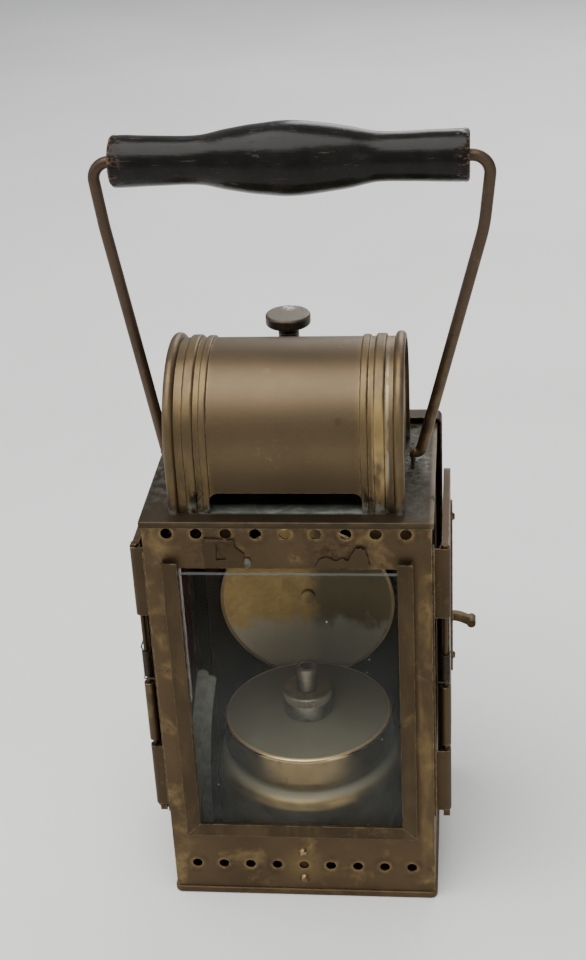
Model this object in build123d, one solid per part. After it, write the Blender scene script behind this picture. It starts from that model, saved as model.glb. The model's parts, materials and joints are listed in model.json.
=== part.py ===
"""Box signal lantern of sheet brass, with an arched hood, side shutters and a wire bail.

Millimetres. X is across the front, Y runs from the front to the rear door, Z is up.
The origin is under the middle of the base, on the surface that the lantern stands on.
Each piece is built where it sits, by its own function, and written to its own STEP.
"""

import os
from math import cos, radians, sin

from build123d import *

os.makedirs("parts", exist_ok=True)

# ---------------------------------------------------------------- driving dimensions
# Case
case_w = 110.0  # across the outside of the side walls
case_d = 90.0  # front panel face to the rear edge of the walls
case_h = 182.0  # floor to the top of the roof
sheet = 0.8  # brass sheet of the case
base_bead = 1.0  # how far the rolled base rim stands proud of the walls
base_bead_h = 3.0
base_corner = 3.0
roof_rim = 2.6  # height of the roof's folded rim
rear_flange = 6.0  # inward flange on the rear edge of each side wall

# Vent holes, one row high and one row low on the front
vent_count = 9
vent_margin = 9.56  # from the wall to the centre of the first hole
vent_top_d = 4.5
vent_low_d = 4.2
vent_top_drop = 5.3  # hole centres below the roof
vent_low_z = 15.7
rivet_z = (8.5, 22.7)  # the two rivets below and above the middle low hole
rivet_r = 1.1

# Front window
window_w = case_w - 26.0
window_low = 37.0
window_high = case_h - 20.5
pane_t = 2.0
pane_overlap = 4.0  # how far the pane reaches behind each channel
pane_drop = 1.6  # the pane has slid down this far from the top of the opening
channel_lip = 6.0
channel_t = 0.8
channel_play = 0.1  # between the pane and the channel that holds it
sill_rise = 2.0  # how far the sill strip stands up into the window
channel_over = 3.5  # how far the upright strips run on above the window
clip_t = 0.8  # plate of the soldered clips above the window
clip_lift = 0.5  # clips above the top of the window
stop_t = 0.8  # angle strip inside the front
stop_half = 7.0
stop_z = (4.0, 27.0)

# Side windows and their coloured panes
side_window_y = (17.0 - case_d / 2, case_d / 2 - 21.0)
side_window_z = (52.0, case_h - 32.0)
side_pane_lap = 4.0
side_frame_out = 8.0  # frame beyond the window on every side

# Arched hood
hood_half = case_d / 2 - 13.0  # half its depth, and the radius of the crown
hood_y = -6.0
hood_straight = 24.0  # height of the upright sides
hood_len = case_w - 28.1
hood_t = 0.8
hood_bead_r = 2.0
ribs = ((12.35, 9.35, 0.8), (7.35, 3.05, 1.1))  # from and to, measured in from the end, and height
slot_half = hood_len / 2 - 11.95
slot_h = 8.3
slot_corner = 3.5

# Chimney hole and swing damper under the hood
hood_share = min(hood_half / 32.0, hood_len / 81.9)  # the damper shrinks with a smaller hood
chimney_r = 12.0 * hood_share
chimney_wall = 0.8
chimney_h = 6.5
damper_r = chimney_r + 1.0
damper_t = 0.8
damper_gap = 1.2  # between the chimney rim and the plate
damper_swing = 65.0  # from open to shut, degrees

# Knob on the damper spindle
knob_x = -2.0
knob_y = hood_y + hood_half * 0.8125
knob_proud = 1.6  # top of the knob above the top of the hood
knob_r = 8.9
knob_t = 4.4
knob_neck_r = 3.5
knob_neck = 2.7
spindle_r = 2.0
bush_r = 4.1

# Wire bail and turned wooden grip
bail_y = 4.0
bail_pivot_up = 4.5  # pivot above the roof
wire_r = 2.25
grip_len = case_w + 22.0
grip_x = 3.1  # the old bail leans a little to one side
grip_up = 125.0  # middle of the grip above the roof
grip_end_r = 9.85
grip_waist_r = 9.2
grip_belly_r = 13.7
lug_x = case_w / 2 - 8.8
lug_t = 1.2
lug_r = 4.0

# Side shutters, given for the right-hand side
hinge_stand = 4.8  # hinge axis out from the wall
hinge_y = 8.0 - case_d / 2
knuckle_r = 2.1
hinge_pin_r = 0.9
flap_z = (35.0, case_h - 15.0)
flap_y = (hinge_y + 2.8, case_d / 2 - 11.0)
flap_unit = (flap_z[1] - flap_z[0]) / 132.0  # heights below are given on a shutter 132 high
low_knuckle = (flap_z[0] + 7.0 * flap_unit, flap_z[0] + 37.0 * flap_unit)
high_knuckle = (flap_z[0] + 101.0 * flap_unit, flap_z[1])
wall_knuckles = (low_knuckle, high_knuckle)
flap_knuckle = (flap_z[0] + 40.0 * flap_unit, flap_z[0] + 68.0 * flap_unit)
flap_stand = 3.5  # inner face of the shutter out from the wall
flap_depth = 2.8
flap_corner = 9.0
flap_foot_corner = 3.5
pull_strip_z = (flap_z[0] + 31.0 * flap_unit, flap_z[0] + 115.0 * flap_unit)
pull_strip_y = (flap_y[1] - 8.5, flap_y[1] - 1.0)
pull_w = 5.6
right_pull_z = flap_z[0] + 58.5 * flap_unit  # the two finger lugs sit and droop differently
right_pull_droop = 2.5
left_pull_z = flap_z[0] + 49.0 * flap_unit
left_pull_droop = 9.0
pull_reach = 8.4
pull_t = 3.4
spring_coil_r = 1.5
spring_wire_r = 0.3
spring_turns = 14
spring_z = (flap_z[0] + 71.0 * flap_unit, flap_z[0] + 83.0 * flap_unit)

# Rear door, a shallow pan that closes over the rear of the case
door_proud = 2.75  # outside of the pan beyond each side wall
door_rise = 3.0  # outside of the pan above the roof
door_depth = 7.8
door_corner = 3.0
door_low = 3.6
door_play = 0.2
door_axis_out = 2.25  # hinge axis out from the pan's side
door_knuckle_r = 1.9
door_pin_r = 0.95
door_hinges = ((10.0, 31.0), (case_h - 13.5, case_h - 1.5))
latch_x = case_w / 2 - 11.5
latch_z = case_h / 2 + 4.0
latch_reach = 8.5

# Reflector on the door
reflector_x = -2.4
reflector_z = case_h / 2 + 3.0
reflector_dish = 5.4
reflector_t = 0.6

# Oil tank and burner
tank_y = 1.0
tank_r = min(case_w / 2 - 14.0, case_d / 2 - 4.0)
tank_low_h = 45.0
tank_shoulder = 7.0
tank_neck_r = tank_r - 7.5
tank_top_r = tank_r - 4.6
tank_top_z = sheet + tank_low_h + 17.2
tank_top_h = 12.5
tank_wall = 0.7
collar_r = 10.5
collar_h = 11.5
collar_flutes = 30
wick_tube_r = 4.0
wick_tube_top = tank_top_z + 21.5
wick_ring_r = 4.75

# Fits
run_fit = 0.06  # radial clearance of a pin or shaft that turns
gap = 0.3  # between pieces that move past each other

# ---------------------------------------------------------------- derived places
half_w = case_w / 2
half_d = case_d / 2
front_y = -half_d
roof_under = case_h - sheet
crown_z = case_h + hood_straight
hood_top = crown_z + hood_half
pane_back = front_y - channel_play
pane_front = pane_back - pane_t
channel_front = pane_front - channel_play - channel_t
hinge_x = half_w + hinge_stand
flap_in = half_w + flap_stand
flap_out = flap_in + flap_depth
door_side = half_w + door_proud
door_front = half_d + door_play + sheet - door_depth
door_back = half_d + door_play
door_axis_x = -(door_side + door_axis_out)
door_axis_y = door_front + 0.3
damper_z = case_h + chimney_h + damper_gap
knob_under = hood_top + knob_proud - knob_t
bush_top = knob_under - knob_neck
bail_pivot_z = case_h + bail_pivot_up
grip_z = case_h + grip_up
tank_low_top = sheet + tank_low_h
reflector_r = min(case_w / 2 - 17.0, reflector_z - tank_low_h - 2.0)  # clear of the tank


# ---------------------------------------------------------------- helpers
def block(x0, x1, y0, y1, z0, z1):
    """A box between two corners."""
    centre = Pos((x0 + x1) / 2, (y0 + y1) / 2, (z0 + z1) / 2)
    return centre * Box(abs(x1 - x0), abs(y1 - y0), abs(z1 - z0))


def rod_z(x, y, z0, z1, r):
    """An upright cylinder."""
    return Pos(x, y, (z0 + z1) / 2) * Cylinder(r, z1 - z0)


def rod_x(x0, x1, y, z, r):
    """A cylinder along X."""
    return Pos((x0 + x1) / 2, y, z) * Rot(0, 90, 0) * Cylinder(r, x1 - x0)


def rod_y(x, y0, y1, z, r):
    """A cylinder along Y."""
    return Pos(x, (y0 + y1) / 2, z) * Rot(90, 0, 0) * Cylinder(r, y1 - y0)


def mirrored(part):
    """The left-hand copy of a right-hand piece."""
    return mirror(part, about=Plane.YZ)


def turned(points, x=0.0, y=0.0):
    """A solid turned about an upright axis from (radius, height) points."""
    outline = Polyline(*[(r, 0, z) for r, z in points], close=True)
    return Pos(x, y, 0) * revolve(make_face(outline), Axis.Z)


def rivet_head(r):
    """A low conical rivet head standing on Z = 0."""
    return Cone(r, r * 0.62, r * 0.55, align=(Align.CENTER, Align.CENTER, Align.MIN))


def save(name, *pieces):
    """Write one node."""
    solids = [solid for piece in pieces for solid in piece.solids()]
    export_step(Compound(children=solids) if len(solids) > 1 else solids[0], f"parts/{name}.step")


# ---------------------------------------------------------------- case
def vent_row(z, d):
    """Cutters for one row of front vent holes."""
    first = vent_margin - half_w
    pitch = -2 * first / (vent_count - 1)
    return [rod_y(first + i * pitch, front_y - 1, front_y + 2, z, d / 2) for i in range(vent_count)]


def front_panel():
    panel = block(-half_w, half_w, front_y, front_y + sheet, sheet, roof_under)
    panel -= block(-window_w / 2, window_w / 2, front_y - 1, front_y + 2, window_low, window_high)
    for hole in vent_row(case_h - vent_top_drop, vent_top_d) + vent_row(vent_low_z, vent_low_d):
        panel -= hole
    for z in rivet_z:
        panel -= rod_y(0, front_y - 1, front_y + 2, z, rivet_r)
    return panel


def right_wall():
    wall = block(half_w - sheet, half_w, front_y + sheet, half_d, sheet, roof_under)
    wall += block(half_w - sheet - rear_flange, half_w, half_d - sheet, half_d, sheet, roof_under)
    return wall - block(half_w - 2, half_w + 1, *side_window_y, *side_window_z)


def base_pan():
    outer = RectangleRounded(case_w + 2 * base_bead, case_d + 2 * base_bead, base_corner)
    pan = extrude(outer, base_bead_h)
    rims = pan.edges().group_by(Axis.Z)
    pan = fillet(rims[0] + rims[-1], base_bead * 0.9)
    return pan - block(-half_w, half_w, front_y, half_d, sheet, base_bead_h + 1)


def roof_plate():
    edge = half_w + sheet
    roof = block(-edge, edge, front_y - sheet, half_d, case_h - roof_rim, case_h)
    roof = fillet(roof.edges().filter_by(Axis.X).group_by(Axis.Z)[-1].group_by(Axis.Y)[0], sheet * 0.75)
    roof -= block(-half_w, half_w, front_y, half_d + 1, case_h - roof_rim - 1, roof_under)
    roof -= rod_z(0, hood_y, roof_under - 1, case_h + 1, chimney_r)
    slot_in, slot_out = lug_x - gap, lug_x + lug_t + gap
    for side in (-1, 1):
        roof -= block(side * slot_in, side * slot_out, bail_y - 6.2, bail_y + 3.4, case_h - 12, case_h + 8)
    return roof


# ---------------------------------------------------------------- front window
def channel_profile_box(x0, x1, z0, z1, side):
    """One folded channel strip: a lip in front of the pane and a wall beside it."""
    lip = block(x0, x1, channel_front, channel_front + channel_t, z0, z1)
    wall = {
        "right": block(x1 - channel_t, x1, channel_front, front_y, z0, z1),
        "left": block(x0, x0 + channel_t, channel_front, front_y, z0, z1),
        "low": block(x0, x1, channel_front, front_y, z0, z0 + channel_t),
    }[side]
    return lip + wall


def channels():
    """The three strips round the pane, mitred at the lower corners."""
    inner = window_w / 2
    outer = inner + channel_lip
    low = window_low - channel_lip + sill_rise
    top = window_high + channel_over
    strip = channel_profile_box(inner, outer, low, top, "right")
    sill = channel_profile_box(-outer, outer, low, low + channel_lip, "low")
    corner = Polyline(
        (outer + 1, channel_front - 1, low - 1),
        (outer - channel_lip - 1, channel_front - 1, low + channel_lip + 1),
        (outer - channel_lip - 1, channel_front - 1, low - 1),
        close=True,
    )
    wedge = extrude(make_face(corner), amount=6, dir=(0, 1, 0))
    right = strip - wedge
    bottom = sill - block(inner, outer + 1, channel_front - 1, front_y + 1, low + channel_lip, top)
    above = Polyline(
        (outer + 1, channel_front - 1, low - 1),
        (outer + 1, channel_front - 1, low + channel_lip + 1),
        (outer - channel_lip - 1, channel_front - 1, low + channel_lip + 1),
        close=True,
    )
    cut = extrude(make_face(above), amount=6, dir=(0, 1, 0))
    bottom = bottom - cut - mirrored(cut)
    return right, mirrored(right), bottom


def front_glass():
    low = window_low - pane_overlap + 1.0
    high = window_high - pane_drop
    side = window_w / 2 + pane_overlap
    return block(-side, side, pane_front, pane_back, low, high)


def pane_clip_left():
    """A soldered clip plate with a slot, whose tongues once held the pane down."""
    low = window_high + clip_lift
    clip = block(-31.5, -19.5, front_y - clip_t, front_y, low, low + 13.0)
    clip -= block(-27.0, -23.0, front_y - 2, front_y + 1, low + 3.5, low + 11.0)
    clip += block(-19.5, -16.0, front_y - 2 * clip_t, front_y, low + 0.6, low + 9.0)
    return clip + block(-17.0, -13.2, front_y - 2.2, front_y, low + 0.2, low + 4.5)


def pane_clip_right():
    """What is left of the other clip: a torn plate with one bent tongue."""
    low = window_high + clip_lift
    clip = block(10.5, 31.5, front_y - clip_t, front_y, low, low + 5.0)
    return clip + block(24.2, 30.2, front_y - 1.5, front_y, low + 1.0, low + 9.5)


def tank_stop():
    """An angle strip riveted inside the front, which the tank comes up against."""
    inside = front_y + sheet
    leg = block(-stop_half, stop_half, inside, inside + stop_t, *stop_z)
    for z in rivet_z:
        leg -= rod_y(0, front_y - 1, inside + 2, z, rivet_r)
    return leg


def front_rivets():
    inside = front_y + sheet + stop_t
    rivets = []
    for z in rivet_z:
        shank = rod_y(0, front_y, inside + 0.7, z, rivet_r)
        head = Pos(0, front_y, z) * Rot(90, 0, 0) * rivet_head(2.1)
        tail = rod_y(0, inside, inside + 0.7, z, 1.8)
        rivets.append(shank + head + tail)
    return rivets


# ---------------------------------------------------------------- side windows
def right_pane():
    inside = half_w - sheet
    y0, y1 = side_window_y
    z0, z1 = side_window_z
    lap = side_pane_lap
    return block(inside - pane_t, inside, y0 - lap, y1 + lap, z0 - lap, z1 + lap)


def right_pane_frame():
    """A folded frame behind the coloured pane."""
    inside = half_w - sheet
    y0, y1 = side_window_y
    z0, z1 = side_window_z
    lap = side_pane_lap
    out = side_frame_out
    back = inside - pane_t - sheet
    frame = block(back, inside, y0 - out, y1 + out, z0 - out, z1 + out)
    frame -= block(back + sheet, inside + 1, y0 - lap, y1 + lap, z0 - lap, z1 + lap)
    return frame - block(back - 1, inside + 1, y0, y1, z0, z1)


# ---------------------------------------------------------------- hood
def arch_block(r, x0, x1):
    """A solid arch between two X positions: upright sides and a half-round crown."""
    sides = Pos(hood_y, case_h + hood_straight / 2) * Rectangle(2 * r, hood_straight)
    crown = Circle(r) - Pos(0, -r / 2) * Rectangle(2 * r, r)
    face = sides + Pos(hood_y, crown_z) * crown
    return extrude(Plane.YZ.offset(x0) * face, amount=x1 - x0)


def arch_rims(arch):
    """The edges that run over an arch at its two ends, without those on the roof."""
    upright = [e for e in arch.edges() if abs(e.bounding_box().size.X) < 0.01]
    return [e for e in upright if e.center().Z > case_h + 0.01]


def rib(x0, x1, height):
    """A pressed rib that stands proud of the barrel."""
    body = arch_block(hood_half + height, x0, x1)
    body = fillet(arch_rims(body), min(height, (x1 - x0) / 2) * 0.9)
    return body - arch_block(hood_half - hood_t / 2, x0 - 1, x1 + 1)


def hood_barrel():
    half = hood_len / 2
    barrel = arch_block(hood_half, -half, half) - arch_block(hood_half - hood_t, -half - 1, half + 1)
    for start, stop, height in ribs:
        barrel += rib(half - start, half - stop, height)
        barrel += rib(stop - half, start - half, height)
    slot = Pos(0, 0, case_h + slot_h / 2 - 2) * Box(2 * slot_half, 4 * hood_half, slot_h + 4)
    slot = fillet(slot.edges().filter_by(Axis.Y).group_by(Axis.Z)[-1], slot_corner)
    barrel -= slot
    return barrel - rod_z(knob_x, knob_y, crown_z - 5, crown_z + hood_half, spindle_r + run_fit)


def hood_end_right():
    """A flat end with its rolled rim."""
    x = hood_len / 2 + hood_bead_r + 0.05
    plate = arch_block(hood_half - hood_t, x - hood_t / 2, x + hood_t / 2)
    ring = arch_block(hood_half + hood_bead_r, x - hood_bead_r, x + hood_bead_r)
    ring = fillet(arch_rims(ring), hood_bead_r * 0.95)
    inner = arch_block(hood_half - hood_t, x - hood_bead_r - 1, x + hood_bead_r + 1)
    return plate + (ring - inner)


def chimney_collar():
    return turned(
        [
            (chimney_r - chimney_wall, roof_under - 2.0),
            (chimney_r, roof_under - 2.0),
            (chimney_r, case_h),
            (chimney_r + 3, case_h),
            (chimney_r + 3, case_h + chimney_wall),
            (chimney_r, case_h + chimney_wall),
            (chimney_r, case_h + chimney_h),
            (chimney_r - chimney_wall, case_h + chimney_h),
        ],
        0,
        hood_y,
    )


# ---------------------------------------------------------------- damper
def knob():
    head = Pos(knob_x, knob_y, knob_under + knob_t / 2) * Cylinder(knob_r, knob_t)
    head = fillet(head.edges(), 0.9)
    neck = rod_z(knob_x, knob_y, bush_top + gap, knob_under + 0.5, knob_neck_r)
    stem = rod_z(knob_x, knob_y, damper_z, bush_top + gap + 0.5, spindle_r)
    return head + neck + stem


def knob_bush():
    bush = rod_z(knob_x, knob_y, crown_z, bush_top, bush_r)
    bush = fillet(bush.edges().group_by(Axis.Z)[-1], 0.8)
    bush -= arch_block(hood_half, -half_w, half_w)
    return bush - rod_z(knob_x, knob_y, crown_z - 1, bush_top + 1, spindle_r + run_fit)


def damper_centre(turn):
    """Centre of the damper disc, with the plate turned this far from shut."""
    dx = -knob_x
    dy = hood_y - knob_y
    a = radians(turn)
    return knob_x + dx * cos(a) - dy * sin(a), knob_y + dx * sin(a) + dy * cos(a)


def damper_plate():
    cx, cy = damper_centre(damper_swing)
    disc = Pos(cx, cy) * Circle(damper_r)
    hub = Pos(knob_x, knob_y) * Circle(4.6)
    arm = make_hull((Pos(knob_x, knob_y) * Circle(3.2)).edges() + (Pos(cx, cy) * Circle(5.0)).edges())
    plate = Pos(0, 0, damper_z) * extrude(disc + hub + arm, damper_t)
    boss = rod_z(knob_x, knob_y, damper_z, damper_z + 4, 3.4)
    return plate + boss - rod_z(knob_x, knob_y, damper_z - 1, damper_z + 5, spindle_r)


# ---------------------------------------------------------------- bail
def bail_wire():
    """One bent wire: pivot ends, two legs and the straight run through the grip."""
    tight = wire_r + 0.55
    path = FilletPolyline(
        (0.7 - lug_x, bail_y, bail_pivot_z),
        (2.8 - half_w, bail_y, bail_pivot_z),
        (-12.9 - half_w, bail_y, grip_z - 25.0),
        (-15.9 - half_w, bail_y, grip_z),
        (half_w + 22.1, bail_y, grip_z),
        (half_w + 19.4, bail_y, grip_z - 27.0),
        (half_w - 5.1, bail_y, bail_pivot_z),
        (lug_x - 0.7, bail_y, bail_pivot_z),
        radius=[tight, 60.0, 6.6, 6.7, 60.0, tight],
    )
    start = Plane(origin=path @ 0, z_dir=path % 0)
    return sweep(start * Circle(wire_r), path)


def grip():
    half = grip_len / 2
    top = Spline(
        (-half + 1.5, grip_end_r),
        (-half + 15.0, grip_waist_r + 0.2),
        (-half + 38.0, (grip_belly_r + grip_waist_r) / 2),
        (0, grip_belly_r),
        (half - 38.0, (grip_belly_r + grip_waist_r) / 2),
        (half - 15.0, grip_waist_r + 0.2),
        (half - 1.5, grip_end_r),
    )
    ends = Polyline(
        (half - 1.5, grip_end_r),
        (half, grip_end_r - 1.5),
        (half, 0),
        (-half, 0),
        (-half, grip_end_r - 1.5),
        (-half + 1.5, grip_end_r),
    )
    wood = revolve(make_face(top + ends), Axis.X)
    wood -= Rot(0, 90, 0) * Cylinder(wire_r + run_fit, grip_len + 2)
    return Pos(grip_x, bail_y, grip_z) * wood


def bail_lug_right():
    """An ear through a slot in the roof, bent over beneath it."""
    ear = block(lug_x, lug_x + lug_t, bail_y - lug_r, bail_y + lug_r, case_h, bail_pivot_z)
    ear += rod_x(lug_x, lug_x + lug_t, bail_y, bail_pivot_z, lug_r)
    ear += block(lug_x, lug_x + lug_t, bail_y - 2.8, bail_y + 3.0, roof_under - 1.0, case_h)
    ear += block(lug_x - 4, lug_x + lug_t, bail_y - 2.8, bail_y + 3.0, roof_under - 1.0, roof_under)
    return ear - rod_x(lug_x - 1, lug_x + lug_t + 1, bail_y, bail_pivot_z, wire_r + run_fit)


# ---------------------------------------------------------------- shutters
def right_hinge_leaf():
    """A leaf on the wall, with the two outer knuckles standing out from it."""
    leaf = block(half_w, half_w + sheet, hinge_y - 6.5, hinge_y + 1.5, low_knuckle[0], high_knuckle[1])
    leaf -= block(half_w - 1, half_w + 2, hinge_y - 3.5, hinge_y + 2, low_knuckle[1] + 2, high_knuckle[0] - 2)
    for z0, z1 in wall_knuckles:
        knuckle = rod_z(hinge_x, hinge_y, z0, z1, knuckle_r)
        web = block(half_w, hinge_x, hinge_y - knuckle_r, hinge_y - knuckle_r + sheet, z0, z1)
        leaf += knuckle + web
    return leaf - rod_z(hinge_x, hinge_y, 0, case_h, hinge_pin_r)


def right_hinge_pin():
    low = low_knuckle[0] - 0.8
    high = high_knuckle[1] + 0.8
    pin = rod_z(hinge_x, hinge_y, low, high, hinge_pin_r)
    for z in (low, high):
        pin += rod_z(hinge_x, hinge_y, z - 0.4, z + 0.4, knuckle_r * 0.75)
    return pin


def flap_blank(x0, x1, inset):
    """The shutter's outline as a slab: a large radius at its top rear corner."""
    y0, y1 = flap_y[0] + inset, flap_y[1] - inset
    z0, z1 = flap_z[0] + inset, flap_z[1] - inset
    slab = block(x0, x1, y0, y1, z0, z1)
    uprights = slab.edges().filter_by(Axis.X)
    large = [e for e in uprights if e.center().Y > 0 and e.center().Z > case_h / 2]
    slab = fillet(large, flap_corner - inset)
    small = [e for e in slab.edges().filter_by(Axis.X) if e.center().Y > 0 and e.center().Z < case_h / 2]
    return fillet(small, flap_foot_corner - inset)


def right_flap():
    """A shallow tray with one knuckle on its front edge."""
    tray = flap_blank(flap_in, flap_out, 0) - flap_blank(flap_in - 1, flap_out - sheet, 1.4)
    z0, z1 = flap_knuckle
    knuckle = rod_z(hinge_x, hinge_y, z0, z1, knuckle_r)
    web = block(flap_out - sheet, flap_out, hinge_y, flap_y[0] + 1, z0, z1)
    tray += knuckle + web
    return tray - rod_z(hinge_x, hinge_y, z0 - 1, z1 + 1, hinge_pin_r + run_fit)


def pull_piece(root_z, droop):
    """A strip along the shutter's rear edge, with a finger lug that curls outward."""
    strip = block(flap_out, flap_out + sheet, *pull_strip_y, *pull_strip_z)
    strip = fillet(strip.edges().filter_by(Axis.X), 2.5)
    y = sum(pull_strip_y) / 2
    x0 = flap_out + sheet / 2
    tip = (x0 + pull_reach, y, root_z - droop)
    path = Spline((x0, y, root_z), tip, tangents=((1, 0, 0.1), (0.9, 0, -droop / pull_reach)))
    start = Plane(origin=path @ 0, x_dir=(0, 1, 0), z_dir=path % 0)
    lug = sweep(start * RectangleRounded(pull_w, pull_t, pull_t * 0.45), path)
    end = Pos(*tip) * Rot(90, 0, 0) * Cylinder(pull_t / 2 + 0.25, pull_w)
    return strip + lug + end


def pull_rivets():
    rivets = []
    y = sum(pull_strip_y) / 2
    for z in (pull_strip_z[0] + 7, pull_strip_z[1] - 7):
        rivets.append(Pos(flap_out + sheet, y, z) * Rot(0, 90, 0) * rivet_head(1.8))
    return rivets


def right_spring():
    """A torsion spring on the hinge pin, with one leg on the shutter and one on the wall."""
    z0, z1 = spring_z
    coil = Helix((z1 - z0) / spring_turns, z1 - z0, spring_coil_r)
    start = Plane(origin=coil @ 0, z_dir=coil % 0)
    wire = Pos(hinge_x, hinge_y, z0) * sweep(start * Circle(spring_wire_r), coil)
    out = hinge_x + spring_coil_r
    rest = flap_out + spring_wire_r + 0.05
    flap_leg = ((out, hinge_y - 0.3, z1), (rest, hinge_y + 2.6, z1), (rest, hinge_y + 12.0, z1))
    wall_rest = half_w + spring_wire_r + 0.1
    wall_leg = ((out, hinge_y + 0.3, z0), (out, hinge_y - 2.2, z0), (wall_rest, hinge_y - 2.2, z0))
    for points in (flap_leg, wall_leg):
        leg = FilletPolyline(*points, radius=0.9)
        wire += sweep(Plane(origin=leg @ 0, z_dir=leg % 0) * Circle(spring_wire_r), leg)
    return wire


# ---------------------------------------------------------------- rear door
def door_slab(inset, y0, y1):
    """The pan's outline as a slab, with round upper corners."""
    side = door_side - inset
    slab = block(-side, side, y0, y1, door_low, case_h + door_rise - inset)
    return fillet(slab.edges().filter_by(Axis.Y).group_by(Axis.Z)[-1], door_corner - inset)


def rear_door():
    pan = door_slab(0, door_front, door_back + sheet) - door_slab(sheet, door_front - 1, door_back)
    return pan - rod_y(latch_x, door_back - 1, door_back + 2, latch_z, spindle_r + run_fit)


def thirds(z0, z1):
    """Three equal knuckle lengths with a small gap between them."""
    step = (z1 - z0) / 3
    return [(z0 + i * step + 0.1, z0 + (i + 1) * step - 0.1) for i in range(3)]


def door_hinge_case():
    """Middle knuckles, on leaves soldered to the side wall."""
    leaves = []
    for z0, z1 in door_hinges:
        low, high = thirds(z0, z1)[1]
        front = door_axis_y - door_knuckle_r
        leaf = rod_z(door_axis_x, door_axis_y, low, high, door_knuckle_r)
        leaf += block(door_axis_x, -half_w, front, front + sheet, low, high)
        leaf += block(-half_w - sheet, -half_w, front - 8, front + sheet, low, high)
        leaves.append(leaf - rod_z(door_axis_x, door_axis_y, low - 1, high + 1, door_pin_r + run_fit))
    return leaves


def door_hinge_leaf():
    """Outer knuckles, on leaves soldered to the pan's side."""
    leaves = []
    for z0, z1 in door_hinges:
        ends = thirds(z0, z1)
        for low, high in (ends[0], ends[2]):
            leaf = rod_z(door_axis_x, door_axis_y, low, high, door_knuckle_r)
            plate_low = door_axis_y - 0.3
            leaf += block(-door_side - 0.7, -door_side, plate_low, plate_low + 6.5, low, high)
            leaves.append(leaf - rod_z(door_axis_x, door_axis_y, low - 1, high + 1, door_pin_r + run_fit))
    return leaves


def door_pins():
    pins = []
    for z0, z1 in door_hinges:
        pin = rod_z(door_axis_x, door_axis_y, z0 - 0.6, z1 + 0.6, door_pin_r)
        pin += rod_z(door_axis_x, door_axis_y, z1 + 0.1, z1 + 0.9, door_knuckle_r * 0.8)
        pins.append(pin)
    return pins


def latch_button():
    """The turn button outside the door, with its spindle. It stands upright when free."""
    y = door_back + sheet
    face = Plane.XZ.offset(-(y + gap + 2.2)) * Pos(latch_x, latch_z)
    bar = extrude(face * SlotOverall(22, 8, rotation=90), 2.2)
    bar = fillet(bar.edges().group_by(Axis.Y)[-1], 0.8)
    return bar + rod_y(latch_x, half_d - sheet - 2.4, y + gap + 0.5, latch_z, spindle_r)


def latch_tongue():
    """The tongue that turns in behind the wall's rear flange."""
    y1 = half_d - sheet - gap - 0.6
    y0 = y1 - 1.0
    tongue = block(latch_x - 3, latch_x + 3, y0, y1, latch_z - 3, latch_z + latch_reach)
    return tongue - rod_y(latch_x, y0 - 1, y1 + 1, latch_z, spindle_r)


def reflector():
    """A shallow spun dish with a narrow turned rim."""
    ball = (reflector_r**2 + reflector_dish**2) / (2 * reflector_dish)
    rim_y = door_back - 0.9 - reflector_dish
    shell = Pos(0, rim_y + reflector_dish - ball, 0) * (Sphere(ball + reflector_t) - Sphere(ball))
    dish = shell & rod_y(0, rim_y, door_back, 0, reflector_r)
    edge = rod_y(0, rim_y - 0.6, rim_y + 0.3, 0, reflector_r + 0.8)
    edge -= rod_y(0, rim_y - 2, rim_y + 2, 0, reflector_r - 0.4)
    dish = dish + edge - rod_y(0, rim_y, door_back, 0, 1.5)
    return Pos(reflector_x, 0, reflector_z) * dish


def reflector_stud():
    """The rivet and washer that hold the dish off the door."""
    back = door_back - 0.9 + reflector_t
    stud = rod_y(reflector_x, door_back - 3.0, door_back, reflector_z, 1.5)
    stud += rod_y(reflector_x, door_back - 3.2, door_back - 1.4, reflector_z, 3.0)
    return stud + rod_y(reflector_x, back, door_back, reflector_z, 3.6)


# ---------------------------------------------------------------- tank and burner
def can(r, low, high, shoulder):
    """A solid drum with a rounded shoulder."""
    drum = rod_z(0, 0, low, high, r)
    return fillet(drum.edges().group_by(Axis.Z)[-1], shoulder)


def tank_body():
    """The lower can: straight side, round shoulder and a short neck."""
    neck_top = tank_top_z - tank_top_h
    shell = can(tank_r, sheet, tank_low_top, tank_shoulder)
    shell += rod_z(0, 0, tank_low_top - 2, neck_top, tank_neck_r)
    shell -= can(tank_r - tank_wall, sheet + tank_wall, tank_low_top - tank_wall, tank_shoulder - tank_wall)
    shell -= rod_z(0, 0, tank_low_top - 3, neck_top + 1, tank_neck_r - tank_wall)
    return Pos(0, tank_y, 0) * shell


def tank_top():
    """The upper drum, a deep cap soldered on the neck."""
    low = tank_top_z - tank_top_h
    drum = rod_z(0, 0, low, tank_top_z, tank_top_r)
    drum = fillet(drum.edges().group_by(Axis.Z)[-1], 1.6)
    drum -= rod_z(0, 0, low + tank_wall, tank_top_z - tank_wall, tank_top_r - tank_wall)
    drum -= rod_z(0, 0, low - 1, low + 2, tank_neck_r - tank_wall)
    return Pos(0, tank_y, 0) * (drum - rod_z(0, 0, low, tank_top_z + 1, wick_tube_r))


def burner_collar():
    """The knurled cap ring that screws the burner down."""
    low = tank_top_z + gap
    ring = rod_z(0, 0, low, low + collar_h, collar_r)
    ring = chamfer(ring.edges().group_by(Axis.Z)[-1], 0.7)
    ring -= rod_z(0, 0, low - 1, low + collar_h + 1, wick_tube_r + run_fit)
    flute = Pos(collar_r + 0.25, 0, low + collar_h / 2 - 0.6) * Cylinder(0.6, collar_h)
    for i in range(collar_flutes):
        ring -= Rot(0, 0, i * 360 / collar_flutes) * flute
    return Pos(0, tank_y, 0) * ring


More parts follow.
